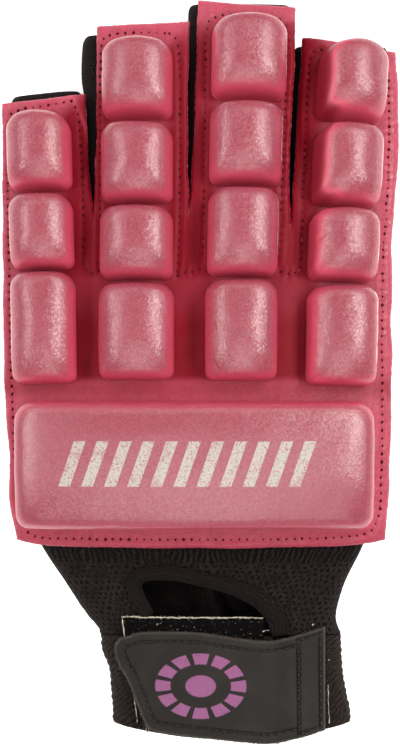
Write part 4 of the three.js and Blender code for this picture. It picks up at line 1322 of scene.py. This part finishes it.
def thumb_hem(material):
    """Turned hem round the thumb's hole."""
    along, up = thumb_oval(90, 0.2)
    slack = np.maximum(LOW_ROUND - up, 0)
    across = read(HAND_SIDES, "right", along) + 0.35
    across -= LOW_ROUND - np.sqrt(np.maximum(LOW_ROUND ** 2 - slack ** 2, 0))
    path = np.stack([across, along, np.maximum(up, 1.1)], -1)
    ring = rope(np.vstack([path, path[:2]]), 0.75, 10)[:len(path)]
    skin = Surface()
    skin.net(np.concatenate([ring, ring[:1]]), wrap=True)
    return skin.piece("thumb_hem", material)


# Closure

def patch_left(along):
    """Left edge of the loop patch, which is sewn on a little askew."""
    return np.interp(along, [PATCH["bottom"], PATCH["top"]], [PATCH["low_left"], PATCH["left"]])


def tab_side(side, across):
    """Where the tab's top or bottom edge runs."""
    return read(TAB, side, across, "across")


def tab_floor(x, y):
    """Height of the tab's underside: on the loop patch, then down on the band at its sewn end."""
    lifted = GAP + PATCH["thick"] + GAP
    share = smoothstep(x, TAB_SEAT["lifted"], TAB_SEAT["seated"])
    return cloth_height(x, y) + lifted * (1 - share) + GAP * share


def tab_outline(inset=0.0):
    """Plan outline of the tab, or of a line at an inset inside it."""
    across = np.linspace(TAB[0]["across"], TAB[-1]["across"], 200)
    upper, lower = (np.stack([across, tab_side(side, across)], -1) for side in ("top", "bottom"))
    outline = along_path(np.vstack([lower, upper[::-1]]), step=0.3, closed=True)[0]
    if not inset:
        return outline
    heading = np.roll(outline, -3, 0) - np.roll(outline, 3, 0)
    heading /= np.linalg.norm(heading, axis=1, keepdims=True) + 1e-9
    moved = outline + np.stack([-heading[:, 1], heading[:, 0]], -1) * inset
    return moved[nearest(moved, outline)[0] > inset * 0.96]


def tab_stitch_lines():
    """Stitch rows on the tab: one round it, and the seams of its sewn end."""
    border = tab_outline(TAB_BORDER)
    border = border[border[:, 0] < TAB_SEAMS[0]]
    order = np.argsort(np.arctan2(border[:, 1] + 88, border[:, 0] - 4) % (2 * math.pi))
    paths = [border[order]]
    for seam in TAB_SEAMS:
        paths.append([(seam, tab_side("bottom", seam) + 1.2), (seam - 0.3, tab_side("top", seam) - 1.4)])
    for side, inset in (("top", -1.5), ("bottom", 1.3)):
        paths.append([(seam, tab_side(side, seam) + inset) for seam in TAB_SEAMS])
    return [along_path(path, step=0.25) for path in paths]


def plate_piece(name, plan, low, rise, material, mark):
    """Closed plate over a net of plan points, with its underside's heights and its rise above them."""
    top = np.concatenate([plan, (low + rise)[..., None]], -1)
    bottom = np.concatenate([plan, low[..., None]], -1)
    skin = Surface()
    skin.net(top, mark=mark)
    skin.net(bottom, flip=True)
    for high, under in (
        (top[0], bottom[0]), (top[:, -1], bottom[:, -1]),
        (top[-1][::-1], bottom[-1][::-1]), (top[:, 0][::-1], bottom[:, 0][::-1]),
    ):
        skin.net(between(under, high, np.linspace(0, 1, 4)), mark=1.0)
    return lay_sheet(skin.piece(name, material), [plan])


# Operators

# Soft boxes, in metres: the setting with its power, its place, what it faces and its size
SOFT_BOXES = {
    "right_box": ("key", (0.74, 0.4, 0.93), (0.0, 0.4, 0.0), (0.32, 1.2)),
    "left_box": ("fill", (-0.8, 0.3, 0.76), (0.0, 0.3, 0.0), (0.15, 1.4)),
    "front_box": ("front", (0.0, -0.5, 0.92), (0.0, 0.0, 0.0), (1.1, 0.76)),
    "tip_box": ("tip", (0.0, 0.9, 0.85), (0.0, 0.0, 0.0), (0.25, 0.9)),
}
FLOOR_HALF = 6.0
FLOOR_DROP = 0.0002


class GLOVE_OT_studio(bpy.types.Operator):
    """Pale floor, four soft boxes, white surroundings and the camera above the glove"""
    bl_idname = "glove.studio"
    bl_label = "Studio"

    def execute(self, context):
        studio = context.scene.glove_studio
        camera = bpy.data.cameras.new("camera")
        camera.lens = studio.lens
        camera.sensor_width = 36.0
        camera.clip_start = 0.01
        holder = add_object("camera", camera)
        holder.location = (SHIFT[0] * MM, SHIFT[1] * MM, studio.height)
        context.scene.camera = holder
        self.floor()
        for name, (setting, place, target, extent) in SOFT_BOXES.items():
            self.soft_box(name, Vector(place), Vector(target), extent, getattr(studio, setting))
        world = bpy.data.worlds.new("white_room")
        world.use_nodes = True
        around = world.node_tree.nodes["Background"].inputs
        around["Color"].default_value = shade((1, 1, 1))
        around["Strength"].default_value = studio.ambient
        context.scene.world = world
        context.scene.view_settings.view_transform = "Standard"
        return {"FINISHED"}

    def floor(self):
        """A floor far wider than the view, just under the glove."""
        mesh = bpy.data.meshes.new("floor")
        corners = [(x * FLOOR_HALF, y * FLOOR_HALF, 0) for x, y in ((-1, -1), (1, -1), (1, 1), (-1, 1))]
        mesh.from_pydata(corners, [], [(0, 1, 2, 3)])
        mesh.materials.append(acrylic_material("lit_white_acrylic"))
        plane = add_object("floor", mesh)
        plane.location.z = -FLOOR_DROP

    def soft_box(self, name, place, target, extent, watts):
        """A soft box with its length level, facing its target."""
        light = bpy.data.lights.new(name, "AREA")
        light.shape = "RECTANGLE"
        light.size, light.size_y = extent
        light.energy = watts
        light.color = linear(TINTS["lamp"])
        out = (place - target).normalized()
        across = Vector((-out.y, out.x, 0)).normalized()
        holder = add_object(name, light)
        holder.matrix_world = Matrix((out.cross(-across), across, out)).transposed().to_4x4()
        holder.location = place


class GLOVE_OT_back_sheet(bpy.types.Operator):
    """Foam sheet with four finger strips, pressed edges and dimpled rows of stitches"""
    bl_idname = "glove.back_sheet"
    bl_label = "Back sheet"

    def execute(self, context):
        # The deep red is painted shade in the sheet's valleys, by the pads and along its lower edge
        skin = foam_material("pressed_eva_foam", colours().sheet, colours().deep, "pressed")
        declare(make_sheet(skin), "back_sheet")
        return {"FINISHED"}


class GLOVE_OT_pads(bpy.types.Operator):
    """Moulded foam pads over the fingers and the knuckles"""
    bl_idname = "glove.pads"
    bl_label = "Foam pads"

    def execute(self, context):
        # Pad walls take the wall colour as painted shading, and the deep red as painted shade where turned
        # away
        skin = foam_material("moulded_eva_foam", colours().foam, colours().wall, "moulded")
        for finger, rows in FINGER_PADS.items():
            for number, row in enumerate(rows):
                made = make_pad(f"{finger}_foam_{number + 1}", row, size("finger_pad"), size("pad_corner"),
                                FINGER_FORM, skin, len(finger) * 10 + number + 1, PAINTED_LIGHT[finger], number)
                declare(made, f"{finger}_pad_{number + 1}")
        printed = foam_material("printed_eva_foam", colours().foam, colours().wall, "printed")
        made = make_pad("knuckle_foam", KNUCKLE, size("knuckle_pad"), size("knuckle_corner"),
                        KNUCKLE_FORM, printed, 9)
        declare(made, "knuckle_pad")
        return {"FINISHED"}


class GLOVE_OT_hand(bpy.types.Operator):
    """Black knit finger sleeves and palm"""
    bl_idname = "glove.hand"
    bl_label = "Knit hand"

    def execute(self, context):
        knit = knit_material("stretch_polyester_knit", colours().cloth, 0.7, contrast=0.7)
        for finger, rows in SLEEVES.items():
            declare(make_sleeve(finger, rows, knit), f"{finger}_sleeve")
        declare(make_palm(knit), "palm_body")
        declare(thumb_hem(knit), None)
        return {"FINISHED"}


class GLOVE_OT_gauntlet(bpy.types.Operator):
    """Spacer mesh between the hand and the wrist, with a taped vent in its back"""
    bl_idname = "glove.gauntlet"
    bl_label = "Gauntlet"

    def execute(self, context):
        mesh = knit_material("polyester_spacer_mesh", colours().mesh, 0.7, holes=1.9, ribs=1.45,
                             depth=0.7, contrast=1.2)
        places = np.linspace(GAUNTLET_END, PALM_END - GAP, 66)
        outer, inner = hand_rings(places, CLOTH, MESH_RING)
        outer = cloth_folds(cloth_folds(outer, 0.5, 15.0, 31), 0.3, 1.5, 35)
        self.lift_slack(inner)
        gathered = smoothstep(places, -54.6, -52.0)[:, None]
        made = tube_piece("gauntlet_mesh", outer, inner, mesh, gathered)
        cut(made, prism("vent_cut", curved_path(VENT, step=0.8)[0], BACK_CUT["from"], BACK_CUT["to"]))
        declare(made, "gauntlet")
        tape = knit_material("knit_binding_tape", colours().tape, 0.8, ribs=1.1, depth=0.3, contrast=0.5)
        declare(self.binding(tape), "vent_binding")
        return {"FINISHED"}

    def lift_slack(self, inner):
        """Lifts the slack cloth of the palm side, most of all along a fold that shows in the vent."""
        x, y = inner[..., 0], inner[..., 1]
        slack = 1 - smoothstep(inner[..., 2], CLOTH + 0.5, CLOTH + 3.0)
        in_vent = np.exp(-((x - 1.0) / 15.0) ** 4) * smoothstep(y, -74.0, -70.0)
        in_vent *= 1 - smoothstep(y, -56.0, -50.0)
        ridge = bell(x - 3.4 + 0.3 * (y + 62.0), 1.5)
        inner[..., 2] += (1 + soft_noise(inner, 8.0, 33)) * 0.9 * slack
        inner[..., 2] += (3.4 + 3.0 * ridge) * in_vent * slack

    def binding(self, material):
        """Rounded knit tape along the vent's edge, flat underneath."""
        path = curved_path(BINDING, step=0.5)[0]
        heading = np.gradient(path, axis=0)
        heading /= np.linalg.norm(heading, axis=1, keepdims=True)
        side = np.stack([heading[:, 1], -heading[:, 0]], -1)
        wide = BINDING_WIDTH + BINDING_SPREAD * smoothstep(path[:, :1], 8, 22)
        out = np.linspace(-0.5, 0.5, 15)
        up = np.sqrt(np.clip(1 - (2 * out) ** 2, 0, 1)) ** 0.8 - 0.22 * bell(np.abs(out) - 0.32, 0.05)
        under = (0.35, 0, -0.35)
        lifts = [*(GAP + up * BINDING_HEIGHT), *[GAP * 0.8] * len(under)]
        lines = []
        for share, lift in zip((*out, *under), lifts):
            spot = path + side * (share * wide)
            lines.append(np.column_stack([spot, cloth_height(*spot.T) + lift]))
        net = np.array(lines).transpose(1, 0, 2)
        skin = Surface()
        skin.net(net, wrap=True)
        for end, flip in ((net[0], True), (net[-1], False)):
            skin.net(between(end, end.mean(0), (0, 0.5, 1)), wrap=True, flip=flip)
        return skin.piece("vent_tape", material)


class GLOVE_OT_wrist_band(bpy.types.Operator):
    """Woven elastic round the wrist, split at the back under the tab"""
    bl_idname = "glove.wrist_band"
    bl_label = "Wrist band"

    def execute(self, context):
        weave = knit_material("woven_elastic", colours().elastic, 0.9, twill=1.4, depth=0.35, contrast=0.6)
        places = np.linspace(CUFF_END, GAUNTLET_END - GAP, 60)
        share = (GAUNTLET_END - places) / (GAUNTLET_END - CUFF_END)
        outer, inner = hand_rings(places, ELASTIC, HAND_RING, CUFF_BOW * share ** 1.6)
        ribs = 0.12 * (1 + np.cos(2 * math.pi * places / 1.9))[:, None] + 0.1 * soft_noise(outer, 2.2, 36)
        outer = outer + towards_middle(outer) * ribs[..., None]
        outer[..., 2] = np.maximum(outer[..., 2], 0)
        made = tube_piece("wrist_elastic", outer, inner, weave)
        cut(made, prism("band_cut", CUFF_SPLIT, BACK_CUT["from"], BACK_CUT["to"]))
        declare(made, "wrist_band")
        return {"FINISHED"}


class GLOVE_OT_closure(bpy.types.Operator):
    """Loop patch with its frayed edge, and the coated tab pressed onto it"""
    bl_idname = "glove.closure"
    bl_label = "Closure"

    def execute(self, context):
        declare(self.patch(), "loop_patch")
        declare(self.tab(), "strap_tab")
        return {"FINISHED"}

    def patch(self):
        """The loop patch: an uneven pile that falls off round its edge."""
        rows, columns = PATCH_NET
        share, y = np.meshgrid(np.linspace(0, 1, columns), np.linspace(PATCH["bottom"], PATCH["top"], rows))
        left = patch_left(y)
        x = left * (1 - share) + PATCH["right"] * share
        edge = np.minimum.reduce([x - left, PATCH["right"] - x, y - PATCH["bottom"], PATCH["top"] - y])
        spots = np.stack([x, y, 0 * x], -1)
        rise = PATCH["thick"] + soft_noise(spots, 1.4, 6) * 0.16 - 0.7 * bell(edge, 0.5)
        plan = np.stack([x, y + soft_noise(spots, 6.0, 8) * 0.2], -1)
        pile = pile_material("nylon_loop_pile", linear(TINTS["loop pile"]))
        return plate_piece("patch_pile", plan, cloth_height(x, y) + GAP, rise, pile, 0.0)

    def tab(self):
        """The tab: rounded at its cut edge, and drawn in along its stitches and its seams."""
        rows, columns = TAB_NET
        across = np.linspace(TAB[0]["across"], TAB[-1]["across"], columns)
        share = np.linspace(0, 1, rows)
        share = share - 0.06 * np.sin(2 * math.pi * share)
        y = between(tab_side("bottom", across), tab_side("top", across), share)
        plan = np.stack([np.broadcast_to(across, y.shape), y], -1)
        flat = plan.reshape(-1, 2)
        edge = nearest(flat, tab_outline())[0]
        apart, _, beat = near_stitches(flat, tab_stitch_lines())
        seam = np.min([np.abs(flat[:, 0] - place) for place in TAB_SEAMS], 0)
        groove = TAB_GROOVE["deep"] * bell(apart, TAB_GROOVE["wide"]) * (0.7 + 0.3 * beat)
        groove += SEAM_GROOVE["deep"] * bell(seam, SEAM_GROOVE["wide"])
        wave = soft_noise(np.column_stack([flat, 0 * edge]), 14.0, 12) * 0.12
        rise = TAB_THICK - groove - rounded(edge, 0.8) + wave
        coated = coated_material("pu_coated_cloth", colours().tab)
        return plate_piece("tab_cloth", plan, tab_floor(plan[..., 0], y), rise.reshape(y.shape), coated,
                           bell(edge, 0.45).reshape(y.shape))


class GLOVE_OT_stitching(bpy.types.Operator):
    """Sewing thread and needle holes in the sheet and the tab, and the frayed yarns of the closure"""
    bl_idname = "glove.stitching"
    bl_label = "Stitching"

    def execute(self, context):
        pink = plain_material("dyed_polyester_thread", linear(TINTS["pink thread"]), 0.55)
        dark = plain_material("needle_hole_shadow", linear(TINTS["hole shadow"]), 0.9,
                              **{"Specular IOR Level": 0.1})
        self.sheet_rows(pink, dark)
        self.tab_rows(plain_material("black_bonded_thread", linear(TINTS["black thread"]), 0.6))
        pale = plain_material("frayed_nylon_yarn", colours().yarn, 0.6)
        self.tab_fuzz(plain_material("cut_cloth_fuzz", linear(TINTS["edge fuzz"]), 0.9))
        self.frays(pale, plain_material("nylon_hook_bristle", linear(TINTS["hook"]), 0.4))
        return {"FINISHED"}

    def sheet_rows(self, thread_material, hole_material):
        """Needle holes along the sheet's rows of stitches, with a sunken thread between each two."""
        pitch = size("stitch")
        threads, holes = Surface(), Surface()
        rng = np.random.default_rng(11)
        for name, rows in STITCH_ROWS.items():
            line, places = curved_path(rows)
            sunk = RIM_SUNK if name == "outer" else VALLEY_SUNK
            count = int(places[-1] // pitch)
            for n in range(count + 1):
                spot = at_distances(line, places, n * pitch) + rng.normal(0, 0.1, 2)
                holes.net(self.pit(*spot, size("hole") * rng.uniform(0.7, 1.25)), wrap=True)
                if n == count:
                    continue
                run = self.between_holes(line, places, n, 0.5) + rng.normal(0, 0.06, 2)
                arch = np.sin(np.linspace(0, math.pi, STITCH_POINTS)) * rng.uniform(0.0, 0.2) - sunk
                thick = size("thread") * np.sin(np.linspace(0.35, math.pi - 0.35, STITCH_POINTS))
                threads.thread(run, sheet_top(*run.T) + arch, thick)
        declare(threads.piece("sheet_stitches", thread_material), None)
        declare(holes.piece("sheet_needle_holes", hole_material), None)

    def between_holes(self, line, places, number, end_gap):
        """Points along one stitch of a row, with a gap left at both of its ends."""
        pitch = size("stitch")
        inner = np.linspace(number * pitch + end_gap, (number + 1) * pitch - end_gap, STITCH_POINTS)
        return at_distances(line, places, inner)

    def pit(self, across, along, radius):
        """Rings of a shallow dish that shades one needle hole."""
        angles = np.linspace(0, 2 * math.pi, 10, endpoint=False)
        rings = []
        for share, rise in ((1.0, 0.0), (0.7, 0.1), (0.35, 0.12), (0.0, 0.12)):
            x = across + radius * share * np.cos(angles)
            y = along + radius * share * 1.25 * np.sin(angles)
            rings.append(np.column_stack([x, y, sheet_top(x, y) - HOLE_SUNK + rise]))
        return np.array(rings)

    def tab_rows(self, material):
        """Stitches that stand proud of the tab."""
        threads = Surface()
        for line, places in tab_stitch_lines():
            for n in range(int(places[-1] // size("stitch"))):
                run = self.between_holes(line, places, n, 0.3)
                arch = np.sin(np.linspace(0, math.pi, STITCH_POINTS)) * 0.3 - 0.25
                thick = 1.5 * size("thread") * np.sin(np.linspace(0.3, math.pi - 0.3, STITCH_POINTS))
                threads.thread(run, tab_floor(*run.T) + TAB_THICK + arch, thick)
        declare(threads.piece("tab_stitches", material), None)

    def tab_fuzz(self, material):
        """Short fibres that stand out of the tab's cut edge."""
        rng = np.random.default_rng(23)
        fibres = Surface()
        outline = tab_outline()
        outline = outline[outline[:, 0] < TAB[-1]["across"] - 0.2]
        for n in rng.integers(0, len(outline), FIBRES):
            start = outline[n] + rng.normal(0, 0.12, 2)
            path = between(start, start + rng.normal(0, 0.32, 2), np.linspace(0, 1, 4))
            z = tab_floor(*path.T) + rng.uniform(0.6, TAB_THICK)
            fibres.thread(path, z, np.linspace(0.07, 0.04, 4), 4)
        declare(fibres.piece("tab_fuzz", material), None)

    def frays(self, pale, dark):
        """Pale yarns along the cut edges, whiskers and lint on them, and bristles at the tab's corner."""
        rng = np.random.default_rng(17)
        yarns, bristles = Surface(), Surface()
        lift, top = PATCH["thick"], PATCH["top"]
        top_edge = [(PATCH["left"] + 0.2, top + 0.1), (PATCH["right"] - 0.4, top + 0.1)]
        left_high, left_low = ([(patch_left(y), y) for y in ends] for ends in ((-75.8, top), (-98.4, -88.6)))
        for ends, seed, rise in (
            (top_edge, 50, lift), (top_edge, 51, lift + 0.15), (left_high, 52, lift), (left_low, 52, lift),
            ([(36.3, -99.2), (36.1, -88.4)], 53, 0.3),
        ):
            self.yarn(yarns, ends, rng, seed, rise)
        for _ in range(WHISKERS):
            across = rng.uniform(PATCH["left"], PATCH["right"] - 0.5)
            start = np.array([across, top + rng.uniform(-0.3, 0.1)])
            self.whisker(yarns, start, [rng.normal(0, 0.6), rng.uniform(0.1, 0.5)], rng, lift)
        for row in LINT:
            self.whisker(yarns, np.array([row["across"], row["along"]]), [0.35, 0.2], rng, lift + 0.3, 0.2)
        for n in range(BRISTLES):
            across = rng.uniform(-16.6, -14.4)
            start = np.array([across, -92.0 - (across + 16.6) * 3.0 - rng.uniform(0, 3.5)])
            reach = [rng.uniform(-1.0, 0.3), rng.normal(0, 0.6)]
            self.whisker(yarns if n % 4 == 0 else bristles, start, reach, rng, lift + 0.2)
        declare(yarns.piece("patch_frays", pale), None)
        declare(bristles.piece("hook_bristles", dark), None)

    def yarn(self, surface, ends, rng, seed, lift):
        """A frayed yarn of uneven thickness that wanders along an edge."""
        path = along_path(ends, step=0.27)[0]
        spots = np.column_stack([path, 0 * path[:, 0]])
        path = path + rng.normal(0, 0.05, path.shape)
        path += noise_pair(spots, (6.0, 5.0), (seed, seed + 20)) * 0.14
        z = cloth_height(*path.T) + GAP + lift + rng.normal(0, 0.04, len(path))
        thick = 0.12 + 0.07 * soft_noise(spots, 2.5, seed + 40)
        surface.thread(path, z, np.clip(thick, 0.03, 0.25), 5)

    def whisker(self, surface, start, reach, rng, lift, thick=0.08):
        """A short loose fibre."""
        path = between(start, start + reach, np.linspace(0, 1, 6)) + rng.normal(0, 0.08, (6, 2))
        z = cloth_height(*path.T) + GAP + lift * 0.8 + rng.uniform(-0.2, 0.3)
        surface.thread(path, z, np.linspace(thick, thick * 0.5, 6), 5)


class GLOVE_PT_panel(bpy.types.Panel):
    """Lists the steps and the settings of the glove"""
    bl_label = "Field Hockey Glove"
    bl_idname = "GLOVE_PT_panel"
    bl_space_type = "VIEW_3D"
    bl_region_type = "UI"
    bl_category = "Glove"

    def draw(self, context):
        for step in STEPS:
            self.layout.operator(step.bl_idname)
        for group in (context.scene.glove_sizes, context.scene.glove_colours, context.scene.glove_studio):
            box = self.layout.box()
            for name in group.__annotations__:
                box.prop(group, name)


STEPS = (
    GLOVE_OT_studio,
    GLOVE_OT_back_sheet,
    GLOVE_OT_pads,
    GLOVE_OT_hand,
    GLOVE_OT_gauntlet,
    GLOVE_OT_wrist_band,
    GLOVE_OT_closure,
    GLOVE_OT_stitching,
)
CLASSES = (GloveSizes, GloveColours, GloveStudio, *STEPS, GLOVE_PT_panel)


def register():
    for cls in CLASSES:
        bpy.utils.register_class(cls)
    bpy.types.Scene.glove_sizes = PointerProperty(type=GloveSizes)
    bpy.types.Scene.glove_colours = PointerProperty(type=GloveColours)
    bpy.types.Scene.glove_studio = PointerProperty(type=GloveStudio)


def unregister():
    del bpy.types.Scene.glove_studio
    del bpy.types.Scene.glove_colours
    del bpy.types.Scene.glove_sizes
    for cls in reversed(CLASSES):
        bpy.utils.unregister_class(cls)


def main():
    """Registers the add-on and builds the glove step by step."""
    register()
    for step in STEPS:
        family, action = step.bl_idname.split(".")
        getattr(getattr(bpy.ops, family), action)()


if __name__ == "__main__":
    main()
